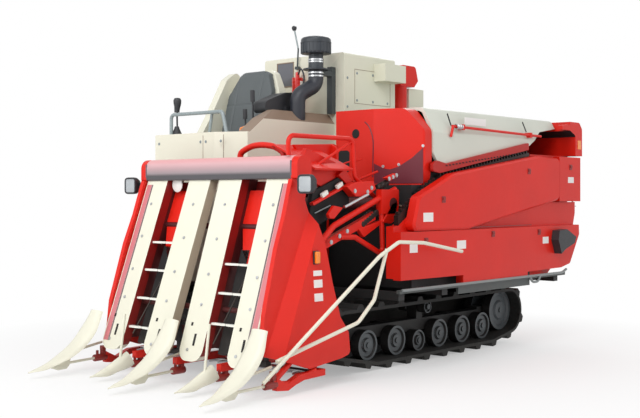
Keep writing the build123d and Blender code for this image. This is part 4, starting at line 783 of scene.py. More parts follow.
def build_dividers():
    """Blades, fins, stays and clamps of the five dividers."""
    low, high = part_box("dividers")
    tip, top = Vector((0, low[1], 0.045)), Vector((0, -1.475, high[2] - 0.004))
    corner = Vector((0, -1.590, 0.120))
    blades, fins, stays, clamps = bmesh.new(), bmesh.new(), [], bmesh.new()
    steps = [k / 26 for k in range(27)]
    for number, tip_lean, top_lean in LARGE_DIVIDERS:
        x, lean = HEAD_X + number * ROW, top_lean - tip_lean
        spine = [tip.lerp(corner, t).lerp(corner.lerp(top, t), t) + Vector((x + tip_lean + lean * t, 0, 0))
                 for t in steps]
        add_blade(blades, spine, [profile(LARGE_WIDTHS, t) for t in steps], [profile(LARGE_DEPTHS, t) for t in steps])
        middle = x + tip_lean + lean * 0.4
        add_prism(fins, FIN, "x", middle - 0.006, middle + 0.006)
        stays += [[(middle, -1.655, 0.070), (x, -1.440, 0.074)], [(middle, -1.630, 0.135), (x - 0.02, -1.380, 0.165)]]
        add_clamp(clamps, x, 0.074)
    steps = [k / 14 for k in range(15)]
    for number in (-1, 1):
        x = HEAD_X + number * ROW
        spine = [Vector((x, -1.758 + 0.264 * t, 0.040 + 0.115 * t ** 1.3)) for t in steps]
        add_blade(blades, spine, [profile(SMALL_WIDTHS, t) for t in steps], [profile(SMALL_DEPTHS, t) for t in steps])
        stays += [[(x, -1.540, 0.120), (x, -1.505, 0.380)], [(x, -1.505, 0.070), (x, -1.430, 0.076)]]
        add_clamp(clamps, x, 0.076)
    shell = make_piece("divider_blades", blades, "cream enamel", "header", crease=0.9)
    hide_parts("dividers")
    make_piece("divider_fins", fins, "cream enamel", "header", bevel=0.003)
    tubes("divider_stays", stays, 0.008, "cream enamel", "header")
    make_piece("divider_clamps", clamps, "deep red and crease shade", "header")


def build_mouth():
    """Upper plates, chain cases and crop rods in the throats between the raking cases, and the arms' struts."""
    plates, cases, rods = bmesh.new(), bmesh.new(), []
    for side in (-1, 1):
        outline = [Vector(on_case(side, 0, across, z, -0.085)) for across, z in (
            (-0.105, 1.140), (0.105, 1.140), (0.105, 0.860), (0.020, 0.700), (-0.050, 0.790), (-0.105, 0.960))]
        walls(plates, [[plates.verts.new(p + Vector((0, thick, 0))) for p in outline] for thick in (0, 0.003)])
        for across, top, depth, width in ((-0.030, 0.80, -0.10, 0.075), (0.055, 0.62, -0.13, 0.055)):
            add_beam(cases, on_case(side, 0, across, 0.22, depth), on_case(side, 0, across, top, depth), width, 0.030,
                     FRONT)
        rods.append([on_case(side, 0, -0.060, 0.26, -0.03), on_case(side, 0, 0.080, 0.78, -0.08)])
    make_piece("throat_upper_plates", plates, "red enamel", "header")
    struts = [[(0.745, -1.390, 0.085), (0.720, -1.240, 0.160), (0.705, -1.130, 0.235)],
              [(0.745, -1.385, 0.074), (0.745, -1.230, 0.060), (0.745, -1.050, 0.110)]]
    tubes("arm_struts", struts, 0.017, "red enamel", "header", bend=0.05)
    make_piece("throat_chain_cases", cases, "opening shade black", "header", bevel=0.004)
    tubes("throat_rods", rods, bpy.context.scene.combine_sizes.wire, "chain steel", "header")


# ---- conveyor behind the header -------------------------------------------------------------

# name, finish, inner and outer side, outline over (y, z)
CONVEYOR_PLATES = (
    ("conveyor_hood", "red enamel", 0.540, 0.575, ((-0.925, 1.356), (-0.563, 1.251), (-0.626, 1.209),
                                                   (-0.788, 1.128), (-0.860, 1.160), (-0.960, 1.300))),
    ("conveyor_hood_end", "red enamel", 0.560, 0.602, ((-0.612, 1.251), (-0.549, 1.173), (-0.580, 1.136),
                                                       (-0.673, 1.205))),
    # black of painted shade in the conveyor's slot
    ("conveyor_slot", "opening shade black", 0.560, 0.590, ((-0.890, 1.105), (-0.663, 1.190), (-0.560, 1.140),
                                                      (-0.560, 1.020), (-0.860, 0.900), (-0.930, 0.930))),
    ("conveyor_lip", "red enamel", 0.590, 0.620, ((-0.925, 1.040), (-0.646, 1.139), (-0.641, 1.124),
                                                  (-0.914, 1.024))),
    ("conveyor_clevis", "red enamel", 0.640, 0.664, ((-0.835, 0.973), (-0.785, 1.024), (-0.704, 1.011),
                                                     (-0.785, 0.947), (-0.825, 0.950))),
    ("conveyor_head", "red enamel", 0.600, 0.660, ((-0.663, 1.135), (-0.580, 1.162), (-0.408, 1.171),
                                                   (-0.386, 1.123), (-0.474, 1.076), (-0.580, 1.076))),
    ("conveyor_guard", "red enamel", 0.655, 0.690, ((-0.324, 1.192), (-0.215, 1.222), (-0.195, 1.208),
                                                    (-0.279, 1.175))),
    ("conveyor_ramp", "red enamel", 0.640, 0.672, ((-0.571, 0.884), (-0.350, 0.929), (-0.344, 0.912),
                                                   (-0.518, 0.832))),
    ("conveyor_bracket", "red enamel", 0.660, 0.690, ((-0.359, 0.920), (-0.269, 1.028), (-0.212, 1.048),
                                                      (-0.224, 0.938), (-0.269, 0.908))),
    ("conveyor_back", "red enamel", 0.380, 0.400, ((-0.846, 1.386), (-0.479, 1.403), (-0.436, 1.395),
                                                   (-0.431, 1.256), (-0.727, 1.250))),
)
# name, finish, radius, path
CONVEYOR_BARS = (
    ("conveyor_chrome", "bright steel", 0.010, ((0.672, -0.704, 1.014), (0.672, -0.484, 1.088))),
    ("conveyor_stay", "red enamel", 0.008, ((0.600, -0.936, 1.226), (0.600, -0.549, 1.408))),
    ("conveyor_feeler", "beige and case wall shade", 0.005, ((0.660, -0.331, 1.055), (0.660, -0.110, 1.013))),
    ("conveyor_link", "red enamel", 0.008, ((0.550, -0.480, 1.165), (0.550, -0.234, 1.233))),
    ("conveyor_wire", "red enamel", 0.005, ((0.500, -0.555, 1.262), (0.500, -0.470, 1.288),
                                            (0.500, -0.328, 1.309))),
    ("conveyor_cord", "handrail grey", 0.004, ((0.600, -0.886, 0.980), (0.600, -0.748, 1.024))),
)

CONVEYOR_BOLTS = ((0.660, -0.470, 1.105), (0.660, -0.430, 1.130), (0.660, -0.590, 1.110), (0.690, -0.295, 1.187),
                  (0.690, -0.255, 1.198), (0.690, -0.220, 1.209))
CHAIN_START, CHAIN_END, CHAIN_ROLLERS = Vector((0.640, -0.530, 0.905)), Vector((0.640, -0.375, 0.985)), 7


def build_conveyor():
    """Plates, bars, bolts and chain of the conveyor at the header's left."""
    for name, material, inner, outer, outline in CONVEYOR_PLATES:
        mesh = bmesh.new()
        add_prism(mesh, outline, "x", inner, outer)
        make_piece(name, mesh, material, "header", bevel=0.003)
    for name, material, radius, path in CONVEYOR_BARS:
        tubes(name, [path], radius, material, "header")
    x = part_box("conveyor")[1][0] + 0.001
    places = [(x, y, z) for y, z in ((-0.845, 0.814), (-0.770, 0.847), (-0.700, 0.874))] + list(CONVEYOR_BOLTS)
    fasteners("conveyor_bolts", [(place, (1, 0, 0)) for place in places], "bright steel", "header",
              bpy.context.scene.combine_sizes.bolt)
    chain = bmesh.new()
    for i in range(CHAIN_ROLLERS):
        add_lathe(chain, [(0, -0.030), (0.016, -0.030), (0.020, -0.022), (0.008, -0.014), (0.008, 0.014),
                          (0.020, 0.022), (0.016, 0.030), (0, 0.030)],
                  CHAIN_START.lerp(CHAIN_END, (i + 0.5) / CHAIN_ROLLERS), (1, 0, 0), sides=10)
    make_piece("conveyor_chain", chain, "chain steel", "header")
    mesh = bmesh.new()
    add_coil(mesh, (0.655, -0.375, 1.130), (0.655, -0.270, 1.165), 80, 0.7, 0.018, 0.004, 6)
    make_piece("conveyor_spring", mesh, "chain steel", "header")
    grips = bmesh.new()
    for y, z in ((-0.815, 1.092), (-0.680, 1.143)):
        add_beam(grips, (0.612, y - 0.025, z - 0.012), (0.612, y + 0.025, z + 0.012), 0.020, 0.026)
    make_piece("conveyor_grips", grips, "finger white", "header", bevel=0.003)


# ---- threshing side -------------------------------------------------------------------------

# body, outer face and middle (y, z)
LATCHES = (("machine", 0.862, 0.043, 1.058), ("machine", 0.862, 1.107, 1.254), ("machine", 0.850, -0.130, 0.802),
           ("machine", 0.850, 0.648, 0.824), ("machine", 0.850, 1.270, 0.821),
           ("rear_door_body", 0.850, 1.747, 1.296))
# body, outer face, middle (y, z), half width, half height
PLATES = (("machine", 0.862, -0.123, 0.949, 0.052, 0.028), ("machine", 0.850, -0.260, 0.761, 0.040, 0.026),
          ("machine", 0.850, 0.264, 0.766, 0.052, 0.027), ("machine", 0.850, 1.365, 0.760, 0.042, 0.024),
          ("rear_door_body", 0.850, 1.751, 1.200, 0.045, 0.022), ("cover_body", 0.770, 0.555, 1.578, 0.130, 0.024))


def build_flank():
    """Latches, blank plates, reflector, and the crease of the side covers as a line of painted shade."""
    for number, (body, x, y, z) in enumerate(LATCHES):
        boxes(f"latch_{number}", [((x - 0.001, y - 0.020, z - 0.020), (x + 0.004, y + 0.020, z + 0.020)),
                                  ((x + 0.002, y - 0.014, z - 0.004), (x + 0.010, y + 0.014, z + 0.014))],
              "deep red and crease shade", body, bevel=0.002)
    for number, (body, x, y, z, wide, tall) in enumerate(PLATES):
        boxes(f"blank_plate_{number}", [((x - 0.001, y - wide, z - tall), (x + 0.0015, y + wide, z + tall))],
              "blank plate", body, bevel=0)
    hood_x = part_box("straw_hood")[1][0]
    boxes("rear_reflector", [((hood_x - 0.001, 1.872, 1.436), (hood_x + 0.003, 1.925, 1.504))], "amber lens",
          "machine", bevel=0.001)
    # painted shade: a dark red line along the lower panel's crease
    boxes("panel_crease_shade", [((FLANK_X - 0.002, 0.02, 0.872), (FLANK_X + 0.002, 1.16, 0.878))], "deep red and crease shade",
          "machine", bevel=0)


RAIL_SLOTS = 26


def build_thresher_cover():
    """Slits, clamp rail slots and coil spring of the hinged thresher cover."""
    slits, dashes, coil = bmesh.new(), bmesh.new(), bmesh.new()
    for top, foot in (((0.220, 1.614), (0.264, 1.539)), ((1.174, 1.610), (1.228, 1.541))):
        add_beam(slits, (SKIRT_X, *top), (SKIRT_X, *foot), 0.003, 0.010, (0, 1, 0))
    # black of painted shade in the cover's slits
    make_piece("cover_slits", slits, "opening shade black", "cover_body")
    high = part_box("clamp_rail")[1]
    along = [0.16 + (i + 0.5) / RAIL_SLOTS * (high[1] - 0.22) for i in range(RAIL_SLOTS)]
    add_repeats(dashes, "slats", [((high[0] + 0.0005, y, 1.262 + (y - 0.06) / 1.15 * 0.135), (1, 0, 0)) for y in along],
                "opening shade black", Size=(0.003, 0.020, 0.008))
    # black dashes of painted shade in the clamp rail's slots
    make_piece("rail_slots", dashes, "opening shade black", "cover_body")
    add_coil(coil, (0.782, 0.300, 1.534), (0.782, 0.372, 1.533), 96, 0.62, 0.015, 0.0028, 8)
    make_piece("rod_spring", coil, "bright steel", "cover_body")


HOUSING_Y = -0.130              # front face of the housing
SWEEP, SWEEP_X = 0.3416, 0.438  # run of the swept face per width, and where it starts
# edge of the feed mouth's maroon panel, painted shade on the housing's lower swept part, over (x, z)
MOUTH = ((0.442, 1.290), (0.500, 1.258), (0.544, 1.250), (0.600, 1.268), (0.683, 1.322), (0.752, 1.385))


def on_sweep(x, z, out=0.0):
    """Point on the swept face of the front housing."""
    run = math.hypot(1, SWEEP)
    return Vector((x + out * SWEEP / run, HOUSING_Y + (x - SWEEP_X) * SWEEP - out / run, z))


def build_front_housing():
    """Ports, seam, feed mouth panel of painted shade and screws on the thresher's front housing."""
    ports, seam, panel = bmesh.new(), bmesh.new(), bmesh.new()
    add_prism(ports, round_plate(0.147, 0.239, 1.235, 1.379, 0.022), "y", HOUSING_Y - 0.003, HOUSING_Y + 0.001)
    add_lathe(ports, [(0, 0.004), (0.028, 0.004), (0.031, 0.0)], (0.291, HOUSING_Y, 1.486), (0, -1, 0))
    # black of painted shade in the housing's ports
    make_piece("housing_ports", ports, "opening shade black", "machine")
    add_tube(seam, [(x, HOUSING_Y - 0.001, z) for x, z in ((0.368, 1.560), (0.405, 1.530), (0.438, 1.450),
                                                           (0.436, 1.340), (0.432, 1.200))], 0.004, 0.05, sides=6)
    make_piece("housing_seam", seam, "maroon and painted shade", "machine")
    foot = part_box("thresher_front")[0][2] + 0.01
    # maroon panel: painted shade on the housing's lower swept part
    outline = [*MOUTH, (MOUTH[-1][0], foot), (MOUTH[0][0], foot)]
    walls(panel, [[panel.verts.new(on_sweep(x, z, out)) for x, z in outline] for out in (-0.002, 0.0025)])
    make_piece("feed_mouth_shade", panel, "maroon and painted shade", "machine")
    screws = [(on_sweep(x, z + 0.012, 0.001), (0.323, -0.946, 0)) for x, z in MOUTH[1::2]]
    fasteners("mouth_screws", screws, "bright steel", "machine")


# ---- operator's place and tank --------------------------------------------------------------

def build_console():
    """Seams, screws, mirror and joystick of the operator's console."""
    y, seam = CONSOLE_LOW[1], bpy.context.scene.combine_sizes.seam / 2
    boxes("console_seams", [((x - seam, y - 0.0008, 1.06), (x + seam, y + 0.001, 1.47))
                            for x in (-0.406, SIDE_BOX_X)], "brown edge", "machine", bevel=0)
    screws = [((x, y, z), (0, -1, 0)) for x in (-0.84, -0.43, -0.38, -0.24) for z in (1.12, 1.43)]
    fasteners("console_screws", screws, "handrail grey", "machine")
    grip, mirror = bmesh.new(), bmesh.new()
    add_lathe(grip, [(0, 0.0), (0.040, 0.0), (0.032, 0.014), (0.018, 0.045), (0.014, 0.060), (0, 0.060)],
              (-0.770, -0.740, 1.490))
    add_lathe(grip, [(0, 0.0), (0.014, 0.0), (0.018, 0.020), (0.026, 0.055), (0.027, 0.075), (0.020, 0.090),
                     (0, 0.094)], (-0.765, -0.740, 1.650))
    make_piece("joystick_grip", grip, "moulded black", "machine")
    add_lathe(mirror, [(0, 0.0), (0.030, 0.004), (0.034, 0.020), (0.028, 0.036), (0, 0.040)],
              (CONSOLE_LOW[0] + 0.02, -0.790, 1.405), (-1, -0.4, 0))
    make_piece("console_mirror", mirror, "moulded black", "machine")


CLEANER_RIBS = 24


def build_cleaner():
    """Ribs, clamps and lid seam of the intake cleaner, and the knob on the thin stalk."""
    middle = Vector(((CLEANER_LOW[0] + CLEANER_HIGH[0]) / 2, (CLEANER_LOW[1] + CLEANER_HIGH[1]) / 2, 0))
    radius, top = (CLEANER_HIGH[0] - CLEANER_LOW[0]) / 2, CLEANER_HIGH[2]
    mesh, clamps, knob = bmesh.new(), bmesh.new(), bmesh.new()
    add_lathe(mesh, [(radius - 0.004, -0.005), (radius + 0.003, -0.003), (radius + 0.003, 0.003),
                     (radius - 0.004, 0.005), (radius - 0.004, -0.005)], (*middle.xy, top - 0.045), sides=48)
    turns = [math.radians(360 * k / CLEANER_RIBS) for k in range(CLEANER_RIBS)]
    ways = [Vector((math.cos(turn), math.sin(turn), 0)) for turn in turns]
    add_repeats(mesh, "slats", [(middle + way * (radius - 0.001) + Vector((0, 0, top - 0.085)), way) for way in ways],
                "cleaner plastic", Size=(0.006, 0.006, 0.070))
    make_piece("cleaner_ribs", mesh, "cleaner plastic", "machine")
    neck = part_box("air_hose")[1][2] - 0.02
    for z in (neck, neck - 0.022, neck + 0.075, neck + 0.090):
        add_hoop(clamps, 0.0500, 0.0545, -0.005, 0.005, (*middle.xy, z))
    make_piece("hose_clamps", clamps, "bright steel", "machine")
    tip = max(NODES["cleaner_post"].data.vertices, key=lambda v: v.co.z).co
    add_lathe(knob, [(0, -0.024), (0.012, -0.020), (0.018, -0.006), (0.017, 0.008), (0, 0.014)],
              (tip.x, tip.y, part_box("cleaner_post")[1][2] - 0.015))
    make_piece("stalk_knob", knob, "moulded black", "machine")


WINDOW_LOW, WINDOW_HIGH, WINDOW_RIM = (-0.644, 1.873), (-0.492, 2.039), 0.006      # over (x, z)
HATCH_X, HATCH_LOW, HATCH_HIGH = -0.015, (0.233, 1.727), (0.640, 1.965)            # over (y, z)


def build_tank():
    """Window, hatch, seams and screws of the grain tank."""
    y = TANK_LOW[1]
    (x0, z0), (x1, z1), rim = WINDOW_LOW, WINDOW_HIGH, WINDOW_RIM
    boxes("tank_window", [((x0, y - 0.002, z0), (x1, y + 0.004, z1))], "tank glass", "machine", bevel=0.001)
    edges = [((left, y - 0.004, foot), (right, y + 0.002, top)) for left, right, foot, top in (
        (x0 - rim, x1 + rim, z0 - rim, z0), (x0 - rim, x1 + rim, z1, z1 + rim),
        (x0 - rim, x0, z0 - rim, z1 + rim), (x1, x1 + rim, z0 - rim, z1 + rim))]
    boxes("tank_window_frame", edges, "brown edge", "machine", bevel=0.001)
    x, low, high = HATCH_X, HATCH_LOW, HATCH_HIGH
    seams = [((x - 0.002, low[0], z), (x + 0.0015, high[0], z + 0.003)) for z in (low[1], high[1])]
    seams += [((x - 0.002, y, low[1]), (x + 0.0015, y + 0.003, high[1])) for y in (low[0], high[0])]
    boxes("tank_hatch_seam", seams, "brown edge", "machine", bevel=0)
    screws = [((x, y, z), (1, 0, 0)) for y in (0.26, 0.44, 0.61) for z in (1.75, 1.94)]
    screws += [((x, 0.155, z), (1, 0, 0)) for z in (1.30, 1.50, 1.70, 1.90)]
    fasteners("hatch_screws", screws, "handrail grey", "machine")


def build_extinguisher():
    """Body bands and hose of the extinguisher beside the tank."""
    low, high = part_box("extinguisher")
    x, y, radius = (low[0] + high[0]) / 2, (low[1] + high[1]) / 2, (high[0] - low[0]) / 2
    for name, material, foot, top in (("extinguisher_label", "finger white", 1.838, 1.896),
                                      ("extinguisher_band", "straw yellow", 1.795, 1.838)):
        mesh = bmesh.new()
        add_hoop(mesh, radius - 0.001, radius + 0.001, foot, top, (x, y, 0))
        make_piece(name, mesh, material, "machine")
    hose = [(x + 0.015, y - 0.010, high[2] - 0.015), (x + 0.050, y - 0.020, high[2] + 0.030),
            (x + 0.085, y - 0.020, high[2] - 0.040), (x + 0.060, y - 0.030, 1.80)]
    tubes("extinguisher_hose", [hose], 0.006, "hose rubber", "machine", bend=0.04)


# ---- grain side and rear --------------------------------------------------------------------

SCREEN_SLATS, PLATFORM_TREADS, TREAD_PITCH = 15, 6, 0.045
BASE_X, BASE_FOOT = -0.860, 0.520       # outer face of the tank's base, and the foot of its seams


def build_screen_and_platform():
    """Black slats of painted shade across the radiator screen, and treads of the folding platform."""
    low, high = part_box("radiator_screen")
    pitch = (high[2] - low[2] - 0.060) / SCREEN_SLATS
    middle = (low[1] + high[1]) / 2 - 0.015
    mesh = bmesh.new()
    add_repeats(mesh, "slats", [((low[0] + 0.0015, middle, low[2] + 0.030 + pitch * (i + 0.275)), (1, 0, 0))
                                for i in range(SCREEN_SLATS)],
                "opening shade black", Size=(0.005, high[1] - low[1] - 0.090, pitch * 0.55))
    # black slats: painted shade across the radiator screen
    make_piece("screen_slats", mesh, "opening shade black", "screen_body", bevel=0.001)
    low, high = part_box("bag_platform")
    middle = (low[1] + high[1]) / 2
    mesh = bmesh.new()
    add_repeats(mesh, "slats", [((low[0] + 0.001, middle, low[2] + 0.054 + TREAD_PITCH * i), (1, 0, 0))
                                for i in range(PLATFORM_TREADS)],
                "rail grey", Size=(0.004, high[1] - low[1] - 0.080, 0.008))
    make_piece("platform_treads", mesh, "rail grey", "platform_body", bevel=0.001)


def build_grain_side():
    """Seams, screws, latches and lamps of the right side and the rear."""
    seam = bpy.context.scene.combine_sizes.seam
    face, x = (-1, 0, 0), BASE_X
    seams = [((x - 0.001, y - seam / 2, BASE_FOOT), (x + 0.001, y + seam / 2, 1.140)) for y in (0.930, 1.210)]
    seams += [((x - 0.001, 0.930, 0.880), (x + 0.001, 1.480, 0.880 + seam))]
    boxes("base_seams", seams, "dark maroon", "machine", bevel=0)
    screws = [((x, y, z), face) for y in (0.960, 1.180, 1.240, 1.470) for z in (0.550, 0.850, 0.915, 1.110)]
    fasteners("base_screws", screws, "bright steel", "machine")
    latches = [box for y in (1.070, 1.350) for box in (
        ((x - 0.004, y - 0.045, 0.955), (x + 0.001, y + 0.045, 0.985)),
        ((x - 0.012, y - 0.030, 0.964), (x - 0.002, y + 0.030, 0.976)))]
    boxes("base_latches", latches, "moulded black", "machine", bevel=0.002)
    x, lid = TANK_LOW[0], TANK_HIGH[2]
    seams = [((x - 0.001, TANK_LOW[1] + 0.02, z), (x + 0.001, 0.690, z + seam)) for z in (1.450, 1.750)]
    boxes("tank_side_seams", seams, "brown edge", "machine", bevel=0)
    screws = [((x, y, z), face) for y in (0.150, 0.410, 0.670) for z in (1.425, 1.480, 1.725, 1.780, 2.020)]
    fasteners("tank_side_screws", screws, "handrail grey", "machine")
    seams = [((-0.640, y, lid - 0.001), (-0.150, y + seam, lid + 0.001)) for y in (0.240, 0.600)]
    seams += [((x - seam / 2, 0.240, lid - 0.001), (x + seam / 2, 0.604, lid + 0.001)) for x in (-0.640, -0.150)]
    boxes("tank_lid_seams", seams, "brown edge", "machine", bevel=0)
    face, y = (0, 1, 0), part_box("rear_case")[1][1]
    boxes("rear_seams", [((0.090, y - 0.001, 1.000), (0.790, y + 0.001, 1.000 + seam))], "dark maroon", "machine",
          bevel=0)
    screws = [((x, y, z), face) for x in (0.120, 0.440, 0.760) for z in (1.030, 1.340)]
    fasteners("rear_screws", screws, "bright steel", "machine")
    lamps = [((x - 0.050, y - 0.001, 1.180), (x + 0.050, y + 0.002, 1.230)) for x in (0.180, 0.700)]
    boxes("rear_lamps", lamps, "amber lens", "machine", bevel=0.001)
    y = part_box("tank_base")[1][1]
    boxes("base_back_seams", [((-0.800, y - 0.001, 0.900), (0.020, y + 0.001, 0.900 + seam)),
                              ((-0.400 - seam / 2, y - 0.001, BASE_FOOT), (-0.400 + seam / 2, y + 0.001, 1.130))],
          "dark maroon", "machine", bevel=0)
    screws = [((x, y, z), face) for x in (-0.780, -0.430, -0.370, 0.000) for z in (0.550, 0.870, 0.935, 1.110)]
    fasteners("base_back_screws", screws, "bright steel", "machine")


# ---- seat -----------------------------------------------------------------------------------

# how far the pads start inside their blocks, how far the cloth may swell, and for how many frames
CUSHION_SLACK, CUSHION_CAP, CUSHION_FRAMES = 0.004, 0.009, 20
CUSHION_VOXEL, CUSHION_PRESSURE, CUSHION_STIFFNESS = 0.011, 4.0, 25
# sewn channels: beside the middle, across the back pad, their depth and half width
CHANNEL_SIDE, CHANNEL_Z, CHANNEL_DEPTH, CHANNEL_WIDTH = 0.115, 1.720, 0.005, 0.007


def finish_modifier(piece, kind, **values):
    """Put a modifier on the active piece and make its result the mesh."""
    modifier = piece.modifiers.new("step", kind)
    for name, value in values.items():
        setattr(modifier, name, value)
    bpy.ops.object.modifier_apply(modifier=modifier.name)


def swell(cushion):
    """Blow a cushion up as closed cloth and keep the shape, capped."""
    scene = bpy.context.scene
    start = [vertex.co.copy() for vertex in cushion.data.vertices]
    cloth = cushion.modifiers.new("cloth", "CLOTH")
    cloth.settings.use_pressure = True
    cloth.settings.uniform_pressure_force = CUSHION_PRESSURE
    cloth.settings.effector_weights.gravity = 0.0
    cloth.settings.tension_stiffness = cloth.settings.compression_stiffness = CUSHION_STIFFNESS
    last = CUSHION_FRAMES
    cloth.point_cache.frame_start, cloth.point_cache.frame_end = 1, last
    for step in range(1, last + 1):
        scene.frame_set(step)
    blown = bpy.data.meshes.new_from_object(cushion.evaluated_get(bpy.context.evaluated_depsgraph_get()))
    scene.frame_set(1)
    cushion.modifiers.clear()
    for vertex, was in zip(blown.vertices, start):
        move = vertex.co - was
        if move.length > CUSHION_CAP:
            vertex.co = was + move.normalized() * CUSHION_CAP
    cushion.data = blown


def build_cushions():
    """Seat and back pad blown up by a cloth run, with their sewn channels, in place of the plain blocks."""
    cushion = bpy.data.objects.new("seat_pads", NODES["seat_cushions"].data.copy())
    bpy.context.scene.collection.objects.link(cushion)
    bpy.context.view_layer.objects.active = cushion
    cushion.select_set(True)
    finish_modifier(cushion, "REMESH", mode="VOXEL", voxel_size=CUSHION_VOXEL)
    for vertex in cushion.data.vertices:
        vertex.co -= vertex.normal * CUSHION_SLACK
    swell(cushion)
    finish_modifier(cushion, "SMOOTH", iterations=6, factor=0.5)
    finish_modifier(cushion, "SUBSURF", levels=1, render_levels=1)
    cushion.select_set(False)
    low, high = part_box("seat_cushions")
    middle = (low[0] + high[0]) / 2
    data = cushion.data
    for vertex in data.vertices:
        if abs(vertex.normal.x) < 0.5:
            near = min(abs(abs(vertex.co.x - middle) - CHANNEL_SIDE), abs(vertex.co.z - CHANNEL_Z))
            vertex.co -= vertex.normal * CHANNEL_DEPTH * math.exp(-(near / CHANNEL_WIDTH) ** 2)
    data.materials.clear()
    data.materials.append(MATERIALS["seat vinyl"])
    for face in data.polygons:
        face.material_index = 0
    data.shade_smooth()
    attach(cushion, "seat_body")
    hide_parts("seat_cushions")


# ---- running gear ---------------------------------------------------------------------------

# outline of the black plate of painted shade that closes the inside of each crawler, over (y, z)
SHIELD = ((-0.700, 0.200), (-0.620, 0.110), (1.050, 0.070), (1.300, 0.160), (1.380, 0.300), (1.300, 0.370),
          (-0.550, 0.340), (-0.680, 0.300))
SHIELD_THICK = 0.006


def build_running_gear():
    """Black plates of painted shade inside the crawlers, and the guard rail's tube."""
    mesh = bmesh.new()
    for x in (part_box("track_left")[0][0] + SHIELD_THICK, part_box("track_right")[1][0] - 2 * SHIELD_THICK):
        add_prism(mesh, SHIELD, "x", x, x + SHIELD_THICK)
    # black plates: painted shade inside the crawlers
    make_piece("crawler_shade_plates", mesh, "opening shade black", "machine")
    low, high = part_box("side_rail")
    x, z = high[0] + 0.004, high[2] - 0.002
    runs = [[(x, low[1] + 0.02, z), (x, high[1] - 0.05, z), (x, high[1] + 0.010, z + 0.022)],
            [(x, 1.13, z), (x, 1.17, z - 0.045), (x, 1.25, z - 0.045), (x, 1.28, z)]]
    tubes("rail_tube", runs, 0.009, "rail tube", "machine", bend=0.04)


# ---- stage ----------------------------------------------------------------------------------

WORLD_LIGHT = 0.42              # strength of the world on the object
FLOOR_REACH, FLOOR_SHADE = 14.0, (0.93, 0.93, 0.93, 1)
FADE_START, FADE_END, FADE_LEAST = 0.8, 3.2, 0.35       # how the floor turns into plain white with distance
# name, place, size, power and what it is turned to
LAMPS = (("key", (3.0, -5.0, 6.0), 4.0, 300, (0, 0, 0.9)), ("front", (-1.5, -7.0, 3.2), 4.0, 150, (0, 0, 0.9)),
         ("side", (7.0, 2.0, 3.0), 3.5, 70, (0, 0, 0.8)), ("back", (-3.0, 5.0, 5.0), 3.0, 80, (0, 0, 1.0)))
CAMERA_PLACE, CAMERA_TURN = (4.57, -5.39, 1.08), (math.radians(90), 0, math.radians(41.1))
CAMERA_LENS, CAMERA_SENSOR, CAMERA_SHIFT = 58.39, 36.0, -0.0203


def backdrop_rays(tree):
    """1 for the rays that show the plain white background: straight, mirrored or through glass."""
    path = tree.nodes.new("ShaderNodeLightPath").outputs
    straight_or_mirrored = maths(tree, "ADD", path["Is Camera Ray"], path["Is Glossy Ray"], clamp=True)
    return maths(tree, "ADD", straight_or_mirrored, path["Is Transmission Ray"], clamp=True)


def staged(name, data, place):
    """Object that belongs to the stage."""
    item = bpy.data.objects.new(name, data)
    item.location = place
    bpy.context.scene.collection.objects.link(item)
    item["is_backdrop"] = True
    return item


def build_world():
    """Plain light on the object, and white where the background shows."""
    world = bpy.data.worlds.new("studio")
    bpy.context.scene.world = world
    world.use_nodes = True
    tree = world.node_tree
    tree.nodes.clear()
    add = tree.nodes.new
    light, seen, mix = add("ShaderNodeBackground"), add("ShaderNodeBackground"), add("ShaderNodeMixShader")
    for node, strength in ((light, WORLD_LIGHT), (seen, 1.0)):
        node.inputs["Color"].default_value = (1, 1, 1, 1)
        node.inputs["Strength"].default_value = strength
    for socket, value in zip(mix.inputs, (backdrop_rays(tree), light.outputs[0], seen.outputs[0])):
        feed(tree, socket, value)
    feed(tree, add("ShaderNodeOutputWorld").inputs["Surface"], mix.outputs[0])


def floor_material():
    """Pale floor that keeps the shadow and turns into the white background with distance."""
    material = bpy.data.materials.new("floor")
    material.use_nodes = True
    tree = material.node_tree
    add, shader = tree.nodes.new, tree.nodes["Principled BSDF"]
    shader.inputs["Base Color"].default_value = FLOOR_SHADE
    shader.inputs["Roughness"].default_value = 0.9
    far, mix, glow = add("ShaderNodeVectorMath"), add("ShaderNodeMixShader"), add("ShaderNodeEmission")
    far.operation = "LENGTH"
    feed(tree, far.inputs[0], add("ShaderNodeTexCoord").outputs["Object"])
    ring = span(tree, far.outputs["Value"], FADE_START, FADE_END, FADE_LEAST)
    amount = maths(tree, "MULTIPLY", ring, backdrop_rays(tree))
    for socket, value in zip(mix.inputs, (amount, shader.outputs[0], glow.outputs[0])):
        feed(tree, socket, value)
    feed(tree, tree.nodes["Material Output"].inputs["Surface"], mix.outputs[0])
    return material


def build_stage():
    """Floor, studio light and camera."""
    scene = bpy.context.scene
    scene.view_settings.view_transform = "Standard"
    build_world()
    reach, data = FLOOR_REACH, bpy.data.meshes.new("floor")
    data.from_pydata([(-reach, -reach, 0), (reach, -reach, 0), (reach, reach, 0), (-reach, reach, 0)], [],
                     [(0, 1, 2, 3)])
    data.materials.append(floor_material())
    staged("floor", data, (0, 0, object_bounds()[0][2] - 0.001))
    for name, place, size, power, aim in LAMPS:
        light = bpy.data.lights.new(name, "AREA")
        light.energy, light.size = power, size
        lamp = staged(name, light, place)
        lamp.rotation_euler = (Vector(aim) - Vector(place)).to_track_quat("-Z", "Y").to_euler()
    view = bpy.data.cameras.new("camera")
    view.sensor_width, view.lens, view.shift_y = CAMERA_SENSOR, CAMERA_LENS, CAMERA_SHIFT
    scene.camera = staged("camera", view, CAMERA_PLACE)
    scene.camera.rotation_euler = CAMERA_TURN


# ---- operators and panel --------------------------------------------------------------------

